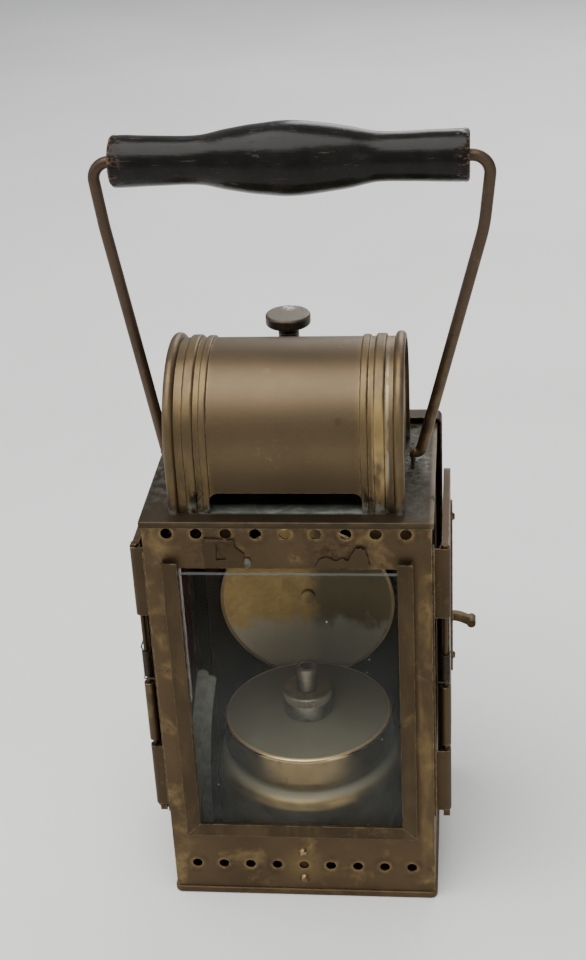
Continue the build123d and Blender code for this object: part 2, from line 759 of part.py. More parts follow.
def wick_tube():
    tube = rod_z(0, 0, tank_low_top - 12, wick_tube_top, wick_tube_r)
    return Pos(0, tank_y, 0) * (tube - rod_z(0, 0, 0, case_h, wick_tube_r - 0.7))


def wick_ring():
    ring = rod_z(0, 0, wick_tube_top - 3.4, wick_tube_top + 1.2, wick_ring_r)
    ring = fillet(ring.edges().group_by(Axis.Z)[-1], 0.5)
    ring -= rod_z(0, 0, wick_tube_top - 4, wick_tube_top, wick_tube_r)
    ring -= rod_z(0, 0, wick_tube_top - 4, wick_tube_top + 2, wick_tube_r - 1.2)
    return Pos(0, tank_y, 0) * ring


def wick():
    """Round woven wick, from the bottom of the tank to just inside the ring."""
    return rod_z(0, tank_y, 8.0, wick_tube_top - 0.6, wick_tube_r - 0.9)


def clip_prong(points, y0, width):
    """One upright prong of bent strip, round at its tip."""
    path = Spline(*[(x, y0, z) for x, z in points])
    start = Plane(origin=path @ 0, x_dir=(0, 1, 0), z_dir=path % 0)
    strip = sweep(start * Rectangle(1.0, width), path)
    tip = path @ 1
    return strip + Pos(tip) * Rot(90, 0, 0) * Cylinder(width / 2, 1.0)


def tank_clip():
    """A strip folded into two prongs, sprung between the wall and the tank."""
    wall = -half_w
    outer_line = ((wall + 4.8, 1.8), (wall + 5.7, 30.0), (wall + 9.0, 64.0), (wall + 13.6, 93.0))
    inner_line = ((wall + 9.6, 1.8), (wall + 10.1, 30.0), (wall + 12.2, 61.0), (wall + 16.4, 89.0))
    outer = clip_prong(outer_line, -17.0, 4.6)
    inner = clip_prong(inner_line, -15.0, 4.4)
    foot = block(wall + 2.6, wall + 11.8, -17.5, -14.5, sheet, 2.6)
    return outer + inner + foot


# ---------------------------------------------------------------- write every node
channel_right, channel_left, channel_low = channels()
wall, pane, pane_frame = right_wall(), right_pane(), right_pane_frame()
end, lug = hood_end_right(), bail_lug_right()
leaf, pin, flap, spring = right_hinge_leaf(), right_hinge_pin(), right_flap(), right_spring()
rivets = pull_rivets()

save("front_panel", front_panel())
save("right_wall", wall)
save("left_wall", mirrored(wall))
save("base_pan", base_pan())
save("roof_plate", roof_plate())
save("channel_right", channel_right)
save("channel_left", channel_left)
save("channel_low", channel_low)
save("front_glass", front_glass())
save("pane_clip_left", pane_clip_left())
save("pane_clip_right", pane_clip_right())
save("tank_stop", tank_stop())
save("front_rivets", *front_rivets())
save("right_pane", pane)
save("left_pane", mirrored(pane))
save("right_pane_frame", pane_frame)
save("left_pane_frame", mirrored(pane_frame))
save("hood_barrel", hood_barrel())
save("hood_end_right", end)
save("hood_end_left", mirrored(end))
save("chimney_collar", chimney_collar())
save("knob", knob())
save("knob_bush", knob_bush())
save("damper_plate", damper_plate())
save("bail_wire", bail_wire())
save("grip", grip())
save("bail_lug_right", lug)
save("bail_lug_left", mirrored(lug))
save("right_hinge_leaf", leaf)
save("left_hinge_leaf", mirrored(leaf))
save("right_hinge_pin", pin)
save("left_hinge_pin", mirrored(pin))
save("right_flap", flap)
save("left_flap", mirrored(flap))
save("right_pull", pull_piece(right_pull_z, right_pull_droop))
save("left_pull", mirrored(pull_piece(left_pull_z, left_pull_droop)))
save("right_pull_rivets", *rivets)
save("left_pull_rivets", *[mirrored(r) for r in rivets])
save("right_spring", spring)
save("left_spring", mirrored(spring))
save("rear_door", rear_door())
save("door_hinge_case", *door_hinge_case())
save("door_hinge_leaf", *door_hinge_leaf())
save("door_pins", *door_pins())
save("latch_button", latch_button())
save("latch_tongue", latch_tongue())
save("reflector", reflector())
save("reflector_stud", reflector_stud())
save("tank_body", tank_body())
save("tank_top", tank_top())
save("burner_collar", burner_collar())
save("wick_tube", wick_tube())
save("wick_ring", wick_ring())
save("wick", wick())
save("tank_clip", tank_clip())
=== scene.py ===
"""Looks of an old sheet-brass hand lantern, built round its CAD frame.

Laid out as an add-on and run as a script. Every length inside is in metres, and
points written in millimetres are turned to metres by MM.
"""

import json
from math import cos, exp, hypot, pi, radians, sin

import bpy
from mathutils import Matrix, Vector, noise


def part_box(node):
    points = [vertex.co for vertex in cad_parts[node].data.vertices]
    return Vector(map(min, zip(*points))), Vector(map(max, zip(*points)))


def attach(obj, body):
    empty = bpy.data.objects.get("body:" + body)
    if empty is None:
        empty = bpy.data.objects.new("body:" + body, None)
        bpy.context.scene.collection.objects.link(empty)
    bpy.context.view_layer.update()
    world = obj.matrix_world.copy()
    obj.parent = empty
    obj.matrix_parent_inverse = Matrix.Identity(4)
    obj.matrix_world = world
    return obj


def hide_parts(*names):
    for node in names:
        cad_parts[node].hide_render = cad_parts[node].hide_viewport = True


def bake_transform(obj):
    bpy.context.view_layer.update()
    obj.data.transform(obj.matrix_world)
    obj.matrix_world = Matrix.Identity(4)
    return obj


bl_info = {
    "name": "Brass hand lantern",
    "version": (1, 0, 0),
    "blender": (4, 5, 0),
    "location": "View3D > Sidebar > Lantern",
    "description": "Finishes, small parts and studio for an old brass hand lantern",
    "category": "Object",
}

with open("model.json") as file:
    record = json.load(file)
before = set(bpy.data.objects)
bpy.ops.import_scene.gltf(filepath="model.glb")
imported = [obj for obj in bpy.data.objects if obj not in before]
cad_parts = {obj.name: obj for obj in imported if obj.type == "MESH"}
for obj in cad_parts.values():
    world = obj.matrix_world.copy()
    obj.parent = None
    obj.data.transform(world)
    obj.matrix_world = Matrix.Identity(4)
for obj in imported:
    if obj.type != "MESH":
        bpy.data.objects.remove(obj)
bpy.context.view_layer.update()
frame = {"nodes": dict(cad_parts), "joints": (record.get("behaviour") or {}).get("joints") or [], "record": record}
NODES = frame["nodes"]
JOINTS = {joint["name"]: joint for joint in frame["joints"]}
MM = 0.001

# in millimetres: height of the two rows of vent holes, and how far the last hole is from the middle
VENT_ROWS = (176.7, 15.7)
VENT_END = 45.44
VENT_HOLES = 9
SHARP_EDGE = radians(38)


# ---------------------------------------------------------------- shader wiring
class Value:
    """A socket in a finish. Arithmetic on it adds Math nodes."""

    def __init__(self, finish, socket):
        self.finish = finish
        self.socket = socket

    def math(self, operation, *terms):
        inputs = dict(enumerate(terms))
        return self.finish.node("ShaderNodeMath", {"operation": operation}, inputs)

    def __add__(self, other):
        return self.math("ADD", self, other)

    __radd__ = __add__

    def __mul__(self, other):
        return self.math("MULTIPLY", self, other)

    __rmul__ = __mul__

    def __sub__(self, other):
        return self.math("SUBTRACT", self, other)

    def __rsub__(self, other):
        return self.math("SUBTRACT", other, self)

    def __pow__(self, other):
        return self.math("POWER", self, other)

    def __abs__(self):
        return self.math("ABSOLUTE", self)

    def least(self, other):
        return self.math("MINIMUM", self, other)

    def most(self, other):
        return self.math("MAXIMUM", self, other)

    def step(self, low, high):
        """0 below low, 1 above high, smooth between. High may be the lower one."""
        ends = {"Value": self, "From Min": low, "From Max": high}
        return self.finish.node("ShaderNodeMapRange", {"interpolation_type": "SMOOTHSTEP"}, ends)

    def within(self, low, high, soft):
        """1 between low and high, fading out over soft."""
        return self.step(low - soft, low + soft) * self.step(high + soft, high - soft)


class Finish:
    """One material, with places in millimetres on the object.

    It takes over the frame's own material of the same name, if there is one.
    """

    def __init__(self, name):
        self.material = bpy.data.materials.get(name) or bpy.data.materials.new(name)
        self.material.use_nodes = True
        self.tree = self.material.node_tree
        self.tree.nodes.clear()
        metres = self.node("ShaderNodeTexCoord", output="Object")
        self.place = self.vector("SCALE", {0: metres, "Scale": 1000.0})
        self.x, self.y, self.z = self.split(self.place)

    def node(self, kind, settings=None, inputs=None, output=0):
        """Add a node: its settings first, then the values or links of its sockets."""
        made = self.tree.nodes.new(kind)
        for key, value in (settings or {}).items():
            setattr(made, key, value)
        for key, value in (inputs or {}).items():
            socket = made.inputs[key]
            if isinstance(value, Value):
                self.tree.links.new(value.socket, socket)
            elif socket.type == "RGBA":
                socket.default_value = (*value[:3], 1.0)
            else:
                socket.default_value = value
        return Value(self, made.outputs[output]) if made.outputs else None

    def vector(self, operation, inputs, output=0):
        return self.node("ShaderNodeVectorMath", {"operation": operation}, inputs, output)

    def split(self, vector):
        made = self.node("ShaderNodeSeparateXYZ", inputs={0: vector}).socket.node
        return [Value(self, socket) for socket in made.outputs]

    def mix(self, share, first, second, blend="MIX"):
        settings = {"data_type": "RGBA", "blend_type": blend}
        return self.node("ShaderNodeMix", settings, {0: share, 6: first, 7: second}, 2)

    def stretched(self, stretch, seed):
        scaled = self.vector("MULTIPLY", {0: self.place, 1: stretch})
        return self.vector("ADD", {0: scaled, 1: (seed * 13.7, seed * 7.1, seed * 3.3)})

    def clouds(self, size, detail=4.0, rough=0.55, stretch=(1, 1, 1), seed=0.0, warp=0.0):
        """Noise whose features are about size millimetres across."""
        inputs = {
            "Vector": self.stretched(stretch, seed),
            "Scale": 1.0 / size,
            "Detail": detail,
            "Roughness": rough,
            "Distortion": warp,
        }
        return self.node("ShaderNodeTexNoise", inputs=inputs)

    def cells(self, size, stretch=(1, 1, 1), seed=0.0):
        """Distance from scattered points about size millimetres apart."""
        inputs = {"Vector": self.stretched(stretch, seed), "Scale": 1.0 / size}
        return self.node("ShaderNodeTexVoronoi", inputs=inputs)

    def near(self, x, y, z, reach, stretch=(1, 1, 1)):
        """1 at a point, fading to 0 at reach millimetres."""
        away = self.vector("SUBTRACT", {0: self.place, 1: (x, y, z)})
        away = self.vector("MULTIPLY", {0: away, 1: stretch})
        return self.vector("LENGTH", {0: away}, 1).step(reach, 0.0)

    def edges(self, radius):
        """Bright along edges, from the turn between the sharp and the rounded normal."""
        soft = self.node("ShaderNodeBevel", {"samples": 4}, {"Radius": radius * MM})
        sharp = self.node("ShaderNodeNewGeometry", output="Normal")
        return (1.0 - self.vector("DOT_PRODUCT", {0: soft, 1: sharp}, 1)).step(0.01, 0.16)

    def up(self):
        """How far the surface faces up, on the object itself."""
        return self.split(self.node("ShaderNodeTexCoord", output="Normal"))[2]

    def finish(self, colour, rough, metal, height=None, depth=0.1, soften=0.3, **sockets):
        """Close the finish with its shader. Height is in units of depth millimetres."""
        inputs = {"Base Color": colour, "Roughness": rough, "Metallic": metal, **sockets}
        if soften:
            inputs["Normal"] = self.node("ShaderNodeBevel", {"samples": 4}, {"Radius": soften * MM})
        if height is not None:
            bump = {"Strength": 1.0, "Distance": depth * MM, "Height": height}
            if soften:
                bump["Normal"] = inputs["Normal"]
            inputs["Normal"] = self.node("ShaderNodeBump", inputs=bump)
        shader = self.node("ShaderNodeBsdfPrincipled", inputs=inputs)
        self.node("ShaderNodeOutputMaterial", inputs={"Surface": shader})
        return self.material


# ---------------------------------------------------------------- mesh helpers
def mesh_object(name, points, faces, material, smooth=True):
    """A mesh from points in metres, linked into the scene."""
    mesh = bpy.data.meshes.new(name)
    mesh.from_pydata([tuple(p) for p in points], [], faces)
    mesh.validate()
    mesh.polygons.foreach_set("use_smooth", [smooth] * len(mesh.polygons))
    if smooth:
        mesh.set_sharp_from_angle(angle=SHARP_EDGE)
    made = bpy.data.objects.new(name, mesh)
    bpy.context.scene.collection.objects.link(made)
    made.data.materials.append(material)
    return made


def lathe(profile, turns, place, wobble=None):
    """Points and faces of a turned closed outline. Place maps (r, along, angle) to a point."""
    points, faces = [], []
    count = len(profile)
    for j in range(turns):
        angle = 2 * pi * j / turns
        for r, along in profile:
            if wobble:
                r += wobble(r, along, angle)
            points.append(place(r, along, angle))
    for j in range(turns):
        k = (j + 1) % turns
        for i in range(count):
            n = (i + 1) % count
            faces.append((j * count + i, j * count + n, k * count + n, k * count + i))
    return points, faces


def tube(path, radius, sides=10):
    """A round tube along points, with closed ends."""
    points, faces = [], []
    ahead = (path[1] - path[0]).normalized()
    across = ahead.orthogonal().normalized()
    for i, point in enumerate(path):
        low, high = path[max(i - 1, 0)], path[min(i + 1, len(path) - 1)]
        now = (high - low).normalized()
        across = (across - now * across.dot(now)).normalized()
        other = now.cross(across)
        for j in range(sides):
            a = 2 * pi * j / sides
            points.append(point + radius * (cos(a) * across + sin(a) * other))
    for i in range(len(path) - 1):
        for j in range(sides):
            k = (j + 1) % sides
            faces.append((i * sides + j, i * sides + k, (i + 1) * sides + k, (i + 1) * sides + j))
    last = (len(path) - 1) * sides
    faces.append(tuple(range(sides))[::-1])
    faces.append(tuple(last + j for j in range(sides)))
    return points, faces


def cut_plate(name, outline, holes, thick, edge, matrix, material, bend=None):
    """A flat plate with holes and rounded edges, from outlines in millimetres."""
    curve = bpy.data.curves.new(name, "CURVE")
    curve.dimensions = "2D"
    curve.fill_mode = "BOTH"
    curve.extrude = (thick / 2 - edge) * MM
    curve.bevel_depth = edge * MM
    curve.bevel_resolution = 2
    curve.offset = -edge * MM
    for loop in [outline, *holes]:
        spline = curve.splines.new("POLY")
        spline.points.add(len(loop) - 1)
        for point, (u, v) in zip(spline.points, loop):
            point.co = (u * MM, v * MM, 0.0, 1.0)
        spline.use_cyclic_u = True
    holder = bpy.data.objects.new(name + "_line", curve)
    bpy.context.scene.collection.objects.link(holder)
    bpy.context.view_layer.update()
    mesh = bpy.data.meshes.new_from_object(holder)
    bpy.data.objects.remove(holder)
    bpy.data.curves.remove(curve)
    if bend:
        for vertex in mesh.vertices:
            vertex.co = bend(vertex.co)
    mesh.transform(matrix)
    mesh.name = name
    mesh.polygons.foreach_set("use_smooth", [True] * len(mesh.polygons))
    mesh.set_sharp_from_angle(angle=SHARP_EDGE)
    mesh.materials.clear()
    mesh.materials.append(material)
    made = bpy.data.objects.new(name, mesh)
    bpy.context.scene.collection.objects.link(made)
    return made


def ragged(points, size, step=0.7, seed=0.0):
    """A closed outline with its sides broken into small uneven steps."""
    loop = []
    for (x0, z0), (x1, z1) in zip(points, points[1:] + points[:1]):
        length = hypot(x1 - x0, z1 - z0)
        parts = max(1, int(length / step))
        nx, nz = (z1 - z0) / length, (x0 - x1) / length
        for i in range(parts):
            t = i / parts
            x, z = x0 + (x1 - x0) * t, z0 + (z1 - z0) * t
            off = 0.0 if i == 0 else size * noise.noise(Vector((x * 0.9 + seed, z * 0.9, seed)))
            loop.append((x + nx * off, z + nz * off))
    return loop


def solder_blob(name, centre, half_x, half_y, height, seed, material):
    """A thin uneven pool of solder lying on a flat surface."""
    rings, spokes = 12, 48
    points, faces = [centre + Vector((0, 0, height))], []
    for i in range(1, rings + 1):
        share = i / rings
        for j in range(spokes):
            a = 2 * pi * j / spokes
            lobe = 1 + 0.30 * noise.noise(Vector((cos(a) * 1.6 + seed, sin(a) * 1.6, seed)))
            lobe += 0.12 * noise.noise(Vector((cos(a) * 5 + seed, sin(a) * 5, seed)))
            x, y = cos(a) * half_x * share * lobe, sin(a) * half_y * share * lobe
            lump = 1 + 0.5 * noise.noise(Vector((x, y, 0)) / (2.2 * MM) + Vector((seed, 0, 0)))
            rise = height * max(0.0, 1 - share**2.5) * lump
            points.append(centre + Vector((x, y, rise)))
    faces += [(0, 1 + j, 1 + (j + 1) % spokes) for j in range(spokes)]
    for i in range(rings - 1):
        for j in range(spokes):
            k = (j + 1) % spokes
            a, b = 1 + i * spokes, 1 + (i + 1) * spokes
            faces.append((a + j, b + j, b + k, a + k))
    faces.append(tuple(1 + (rings - 1) * spokes + j for j in range(spokes))[::-1])
    return mesh_object(name, points, faces, material)


# ---------------------------------------------------------------- settings
class LanternFinishes(bpy.types.PropertyGroup):
    """Colours and wear of the lantern's finishes."""

    skin_dark: bpy.props.FloatVectorProperty(
        name="Dark skin", description="Darkest brown of the tarnished brass",
        subtype="COLOR", size=3, min=0, max=1, default=(0.046, 0.031, 0.017))
    skin_brown: bpy.props.FloatVectorProperty(
        name="Brown skin", description="Usual brown of the tarnished brass",
        subtype="COLOR", size=3, min=0, max=1, default=(0.098, 0.064, 0.033))
    gold: bpy.props.FloatVectorProperty(
        name="Rubbed brass", description="Yellow metal where the skin is rubbed thin",
        subtype="COLOR", size=3, min=0, max=1, default=(0.215, 0.150, 0.062))
    bright: bpy.props.FloatVectorProperty(
        name="Bare brass", description="Bare metal on edges and rims",
        subtype="COLOR", size=3, min=0, max=1, default=(0.62, 0.46, 0.24))
    bloom: bpy.props.FloatVectorProperty(
        name="Green bloom", description="Pale green corrosion on the roof and hood",
        subtype="COLOR", size=3, min=0, max=1, default=(0.36, 0.40, 0.35))
    black: bpy.props.FloatVectorProperty(
        name="Grip paint", description="Black paint of the wooden grip",
        subtype="COLOR", size=3, min=0, max=1, default=(0.006, 0.0055, 0.005))
    wood: bpy.props.FloatVectorProperty(
        name="Grip wood", description="Bare wood where the paint is chipped",
        subtype="COLOR", size=3, min=0, max=1, default=(0.16, 0.085, 0.045))
    red: bpy.props.FloatVectorProperty(
        name="Red pane", description="Colour of the left side pane",
        subtype="COLOR", size=3, min=0, max=1, default=(0.12, 0.006, 0.005))
    green: bpy.props.FloatVectorProperty(
        name="Green pane", description="Colour of the right side pane",
        subtype="COLOR", size=3, min=0, max=1, default=(0.006, 0.09, 0.03))
    edge_wear: bpy.props.FloatProperty(
        name="Edge wear", description="How much bare metal shows along the edges",
        subtype="FACTOR", min=0, max=1, default=0.55)


class LanternSizes(bpy.types.PropertyGroup):
    """Sizes of the small parts that are built here."""

    spring_wire: bpy.props.FloatProperty(
        name="Spring wire", description="Radius of the shutter springs' wire",
        unit="LENGTH", default=0.0003)
    spring_coil: bpy.props.FloatProperty(
        name="Spring coil", description="Radius of the shutter springs' coils",
        unit="LENGTH", default=0.0015)
    spring_turns: bpy.props.IntProperty(
        name="Spring turns", description="Turns in each shutter spring", default=14, min=2)
    grip_chips: bpy.props.FloatProperty(
        name="Grip chips", description="Depth of the chips in the grip's paint",
        unit="LENGTH", default=0.00035)
    knurls: bpy.props.IntProperty(
        name="Knurls", description="Teeth round the burner collar's rim", default=64, min=8)
    floor: bpy.props.FloatProperty(
        name="Floor", description="Width of the floor", unit="LENGTH", default=8.0)


class LanternStudio(bpy.types.PropertyGroup):
    """Camera and lights."""

    lens: bpy.props.FloatProperty(
        name="Lens", description="Focal length of the camera",
        unit="CAMERA", default=62.12)
    camera_place: bpy.props.FloatVectorProperty(
        name="Camera", description="Where the camera stands",
        subtype="TRANSLATION", unit="LENGTH", size=3, default=(0.06770, -0.58216, 0.48678))
    yaw: bpy.props.FloatProperty(
        name="Yaw", description="Camera turned to its left", unit="ROTATION", default=radians(6.75))
    pitch: bpy.props.FloatProperty(
        name="Pitch", description="Camera tipped down", unit="ROTATION", default=radians(27.94))
    roll: bpy.props.FloatProperty(
        name="Roll", description="Camera rolled", unit="ROTATION", default=radians(-3.12))
    key: bpy.props.FloatProperty(
        name="Key light", description="Power of the large light overhead",
        unit="POWER", default=31.0)
    sky: bpy.props.FloatProperty(
        name="Room light", description="Strength of the even light all round", default=0.45)


# ---------------------------------------------------------------- brass
def brass_skin(name, seed=0.0, patch=15.0, gold=0.4, blend=0.5, tint=(1, 1, 1), lift=1.0):
    """Old sheet brass before its local marks: a finish, its colour, roughness and height."""
    look = bpy.context.scene.lantern_finishes
    tones = (look.skin_dark, look.skin_brown, look.gold)
    dark, brown, gilt = [[c * t * lift for c, t in zip(tone, tint)] for tone in tones]
    f = Finish(name)
    broad = f.clouds(42.0, 3.0, 0.5, seed=seed)
    patches = f.clouds(patch, 6.0, 0.62, seed=seed + 1, warp=0.4)
    grain = f.clouds(1.1, 3.0, 0.7, seed=seed + 2)
    streaks = f.clouds(1.4, 4.0, 0.6, stretch=(1.0, 1.0, 0.07), seed=seed + 3)
    cross = f.clouds(1.2, 4.0, 0.6, stretch=(0.06, 1.0, 1.0), seed=seed + 4)
    colour = f.mix(broad.step(0.3, 0.7) * blend + (1 - blend) / 2, dark, brown)
    rubbed = patches.step(0.62 - gold * 0.25, 0.80 - gold * 0.15)
    colour = f.mix(rubbed * 0.75, colour, gilt)
    spots = f.cells(7.0, seed=seed + 5).step(0.16, 0.05) * patches.step(0.5, 0.6)
    colour = f.mix(spots * 0.6, colour, dark)
    colour = f.mix(grain.step(0.35, 0.75) * 0.28, colour, brown)
    scratch = (streaks.step(0.69, 0.77) + cross.step(0.70, 0.78)).least(1.0)
    colour = f.mix(scratch * 0.10, colour, look.bright)
    rough = 0.40 + patches * 0.16 + grain * 0.10 - scratch * 0.10 - rubbed * 0.06
    height = patches * 0.5 + grain * 0.16 - scratch * 0.15 - spots * 0.3
    return f, colour, rough, height


def rub_edges(f, colour, radius=0.5, share=None):
    """Bare metal along the edges, broken by noise."""
    look = bpy.context.scene.lantern_finishes
    broken = f.clouds(2.6, 4.0, 0.7, seed=9.0).step(0.36, 0.62)
    worn = f.edges(radius) * broken * (look.edge_wear if share is None else share)
    return f.mix(worn, colour, look.bright), worn


def vent_marks(f, colour):
    """Worn rings and drip stains round the two rows of vent holes."""
    look = bpy.context.scene.lantern_finishes
    pitch = 2 * VENT_END / (VENT_HOLES - 1)
    along = abs(f.node("ShaderNodeMath", {"operation": "WRAP"}, {0: f.x, 1: pitch / 2, 2: -pitch / 2}))
    for row in VENT_ROWS:
        rise = f.z - row
        away = (along * along + rise * rise) ** 0.5
        ring = away.step(3.9, 2.5) * f.clouds(3.0, 3.0, seed=12.0).step(0.35, 0.6)
        colour = f.mix(ring * 0.55, colour, look.gold)
        grime = away.step(6.5, 3.5) * away.step(2.6, 3.8)
        grime = grime * f.clouds(5.0, 3.0, seed=13.0).step(0.42, 0.62)
        colour = f.mix(grime * 0.5, colour, look.skin_dark)
    return colour


def case_finish():
    """Front, walls and base: brown with olive-gold patches and bright rims."""
    look = bpy.context.scene.lantern_finishes
    f, colour, rough, height = brass_skin("case_brass", seed=1.0, patch=17.0, gold=0.42, lift=1.10)
    colour = vent_marks(f, colour)
    front = f.y.step(-44.0, -44.9)
    right = f.x.within(49.3, 54.2, 0.8) * f.z.within(20, 158, 12)
    runs = f.clouds(9.0, 5.0, 0.6, stretch=(1.3, 1, 0.4), seed=15.0)
    colour = f.mix(right * runs.step(0.36, 0.66) * front * 0.5, colour, look.gold)
    top = f.z.step(176.5, 180.6) * front * f.clouds(6.0, 4.0, seed=16.0).step(0.4, 0.55)
    colour = f.mix(top * 0.4, colour, look.gold)
    soot = f.near(-26, -45, 168, 17, (1, 1, 1.2)) + f.near(21, -45, 168, 20, (0.9, 1, 1.5))
    soot = soot * f.clouds(4.0, 5.0, 0.7, seed=17.0).step(0.4, 0.66)
    colour = f.mix(soot.least(1.0) * 0.75, colour, [c * 0.35 for c in look.skin_dark])
    middle = f.near(0, -45, 15.7, 13) * front
    colour = f.mix(middle * 0.45, colour, look.gold)
    low = f.z.step(9.0, 1.0) * f.clouds(7.0, 4.0, seed=18.0).step(0.35, 0.65)
    colour = f.mix(low * 0.45, colour, look.skin_dark)
    colour, worn = rub_edges(f, colour)
    # painted shade: the inner faces of the case are painted almost black, for the shade inside the lantern
    inside = f.y.within(-44.35, 44.35, 0.08) * abs(f.x).step(54.5, 54.3)
    colour = f.mix(inside * 0.85, colour, [c * 0.35 for c in look.skin_dark])
    return f.finish(colour, rough - worn * 0.12, 0.86, height, depth=0.16)


def roof_finish():
    """Roof: grey-brown with a pale green bloom and old solder."""
    look = bpy.context.scene.lantern_finishes
    f, colour, rough, height = brass_skin(
        "roof_brass", seed=3.0, patch=11.0, gold=0.05, tint=(0.94, 1.0, 1.12), lift=0.60)
    top = f.up().step(0.5, 0.9)
    slot = f.y.within(-38.5, -31.5, 1.2) * f.x.within(-34, 32, 5)
    left = f.x.step(-41.0, -47.0) * f.y.within(-30, 40, 12)
    right = f.x.within(45.5, 53.0, 2.0) * f.y.within(-40, 36, 8)
    rear = f.y.step(24, 32)
    zone = (slot + left * 0.45 + right * 0.45 + rear * 0.3).least(1.0)
    curd = f.clouds(5.0, 6.0, 0.66, seed=21.0, warp=0.6).step(0.40, 0.66)
    bloom = zone * curd * top
    colour = f.mix(bloom * 0.75, colour, [c * 0.66 for c in look.bloom])
    # painted highlight over real bloom: the slot under the hood's front gets extra pale bloom colour, standing for
    # the lit roof there
    colour = f.mix(slot * top * 0.55, colour, [c * 1.05 for c in look.bloom])
    pale = f.near(47, 3, 182, 17, (1.6, 0.8, 1)) * f.clouds(3.0, 5.0, 0.7, seed=22.0).step(0.42, 0.58)
    colour = f.mix(pale * top * 0.8, colour, (0.26, 0.25, 0.225))
    rim = f.x.step(53.6, 55.2) * f.clouds(8.0, 4.0, seed=23.0).step(0.3, 0.5)
    colour = f.mix(rim * 0.5, colour, (0.26, 0.21, 0.14))
    fold = f.y.step(-44.7, -45.4) * f.z.step(180.0, 181.2)
    colour = f.mix(fold * f.clouds(9.0, 3.0, seed=24.0).step(0.4, 0.6) * 0.25, colour, look.gold)
    # painted shade: the front face of the roof's fold is darkened
    colour = f.mix(f.y.step(-44.9, -45.3) * 0.5, colour, look.skin_dark)
    colour, worn = rub_edges(f, colour, 0.4, 0.5)
    return f.finish(colour, rough + bloom * 0.25 - worn * 0.1, 0.80, height + bloom * 0.6, depth=0.14)


def hood_finish():
    """Hood: satin brown, mauve at the crown, gold on the bands, stained at the ribs' feet."""
    look = bpy.context.scene.lantern_finishes
    f, colour, rough, height = brass_skin(
        "hood_brass", seed=5.0, patch=22.0, gold=0.08, blend=0.35, tint=(0.97, 1.04, 1.08), lift=1.55)
    # painted reflection of the dark roof: the hood darkens below z 210
    colour = f.mix(f.z.step(210.0, 192.0) * 0.80, colour, look.skin_dark)
    crown = f.z.step(214.0, 232.0)
    colour = f.mix(crown * 0.5, colour, (0.114, 0.082, 0.054))
    sides = abs(f.x).step(26.0, 30.0)
    sides = sides * f.clouds(9.0, 5.0, 0.6, stretch=(1, 1, 0.3), seed=31.0).step(0.35, 0.6)
    colour = f.mix(sides * 0.38, colour, look.gold)
    band = f.x.within(33.2, 38.6, 0.6) * f.z.within(193, 224, 6) * f.y.step(-20.0, -28.0)
    patchy = band * f.clouds(5.0, 4.0, stretch=(1, 1, 0.4), seed=32.0).step(0.25, 0.5)
    colour = f.mix(patchy * 0.85, colour, [c * 1.75 for c in look.gold])
    green = f.x.within(38.5, 39.3, 0.3) * f.z.within(196, 236, 6)
    green = green * f.clouds(4.0, 4.0, stretch=(1, 1, 0.4), seed=33.0).step(0.34, 0.5)
    colour = f.mix(green * 0.5, colour, look.bloom)
    foot = abs(f.x).within(29.5, 36.5, 1.2) * f.z.step(199.0, 190.0)
    stain = foot * f.clouds(2.6, 5.0, 0.7, stretch=(1.3, 1.3, 0.35), seed=34.0).step(0.5, 0.58)
    colour = f.mix(stain * 0.95, colour, (0.010, 0.008, 0.006))
    mist = f.z.step(188.0, 183.0) * f.clouds(4.0, 4.0, seed=35.0).step(0.42, 0.62)
    colour = f.mix(mist * 0.6, colour, look.bloom)
    scuffs = f.near(-5, -38, 207, 9, (1, 1, 0.9))
    scuffs = scuffs * f.clouds(2.2, 4.0, 0.6, stretch=(0.6, 1, 1.2), seed=36.0).step(0.56, 0.66)
    colour = f.mix(scuffs * 0.14, colour, look.bright)
    pit = f.near(20.5, -34, 218, 2.6)
    colour = f.mix(pit * 0.8, colour, look.skin_dark)
    colour, worn = rub_edges(f, colour, 0.7, 0.35)
    rough = rough - 0.05 - band * 0.08
    return f.finish(colour, rough - worn * 0.1, 0.88, height - stain * 0.5 - pit * 1.2, depth=0.10)


def channel_finish():
    """Strips round the pane, clips and pane frames."""
    look = bpy.context.scene.lantern_finishes
    f, colour, rough, height = brass_skin("channel_brass", seed=7.0, patch=15.0, gold=0.12, lift=0.72)
    runs = f.clouds(9.0, 5.0, 0.6, stretch=(1.3, 1, 0.35), seed=41.0).step(0.42, 0.70)
    colour = f.mix(runs * 0.16, colour, look.gold)
    # painted shade along the strips' inner edges beside the pane, below z 161
    inner = abs(abs(f.x) - 42.0).step(1.4, 0.2) * f.z.step(163.0, 161.0)
    colour = f.mix(inner * 0.45, colour, look.skin_dark)
    colour, worn = rub_edges(f, colour, 0.5, 0.35)
    return f.finish(colour, rough - worn * 0.1, 0.84, height, depth=0.16)


def clip_finish():
    """Clips above the pane: the panel's brown, with thin worn edges."""
    f, colour, rough, height = brass_skin("clip_brass", seed=14.0, patch=9.0, gold=0.12, lift=0.80)
    colour, worn = rub_edges(f, colour, 0.16, 0.45)
    return f.finish(colour, rough - worn * 0.1, 0.84, height, depth=0.10, soften=0.12)


def rivet_finish():
    """Rivet heads: rubbed bright on their domes."""
    look = bpy.context.scene.lantern_finishes
    f, colour, rough, height = brass_skin("rivet_brass", seed=16.0, patch=3.0, gold=0.55, lift=1.05)
    colour = f.mix(f.clouds(2.0, 3.0, seed=17.0).step(0.4, 0.6) * 0.35, colour, look.bright)
    return f.finish(colour, rough - 0.16, 0.9, height, depth=0.06, soften=0.1)


def prong_finish():
    """Pressed clip behind the wick: two grey-green prongs."""
    f = Finish("prong_metal")
    blot = f.clouds(4.0, 5.0, 0.6, seed=98.0)
    colour = f.mix(blot.step(0.3, 0.7), (0.150, 0.155, 0.120), (0.245, 0.248, 0.200))
    return f.finish(colour, 0.44 + blot * 0.16, 0.55, blot, depth=0.05, soften=0.15)


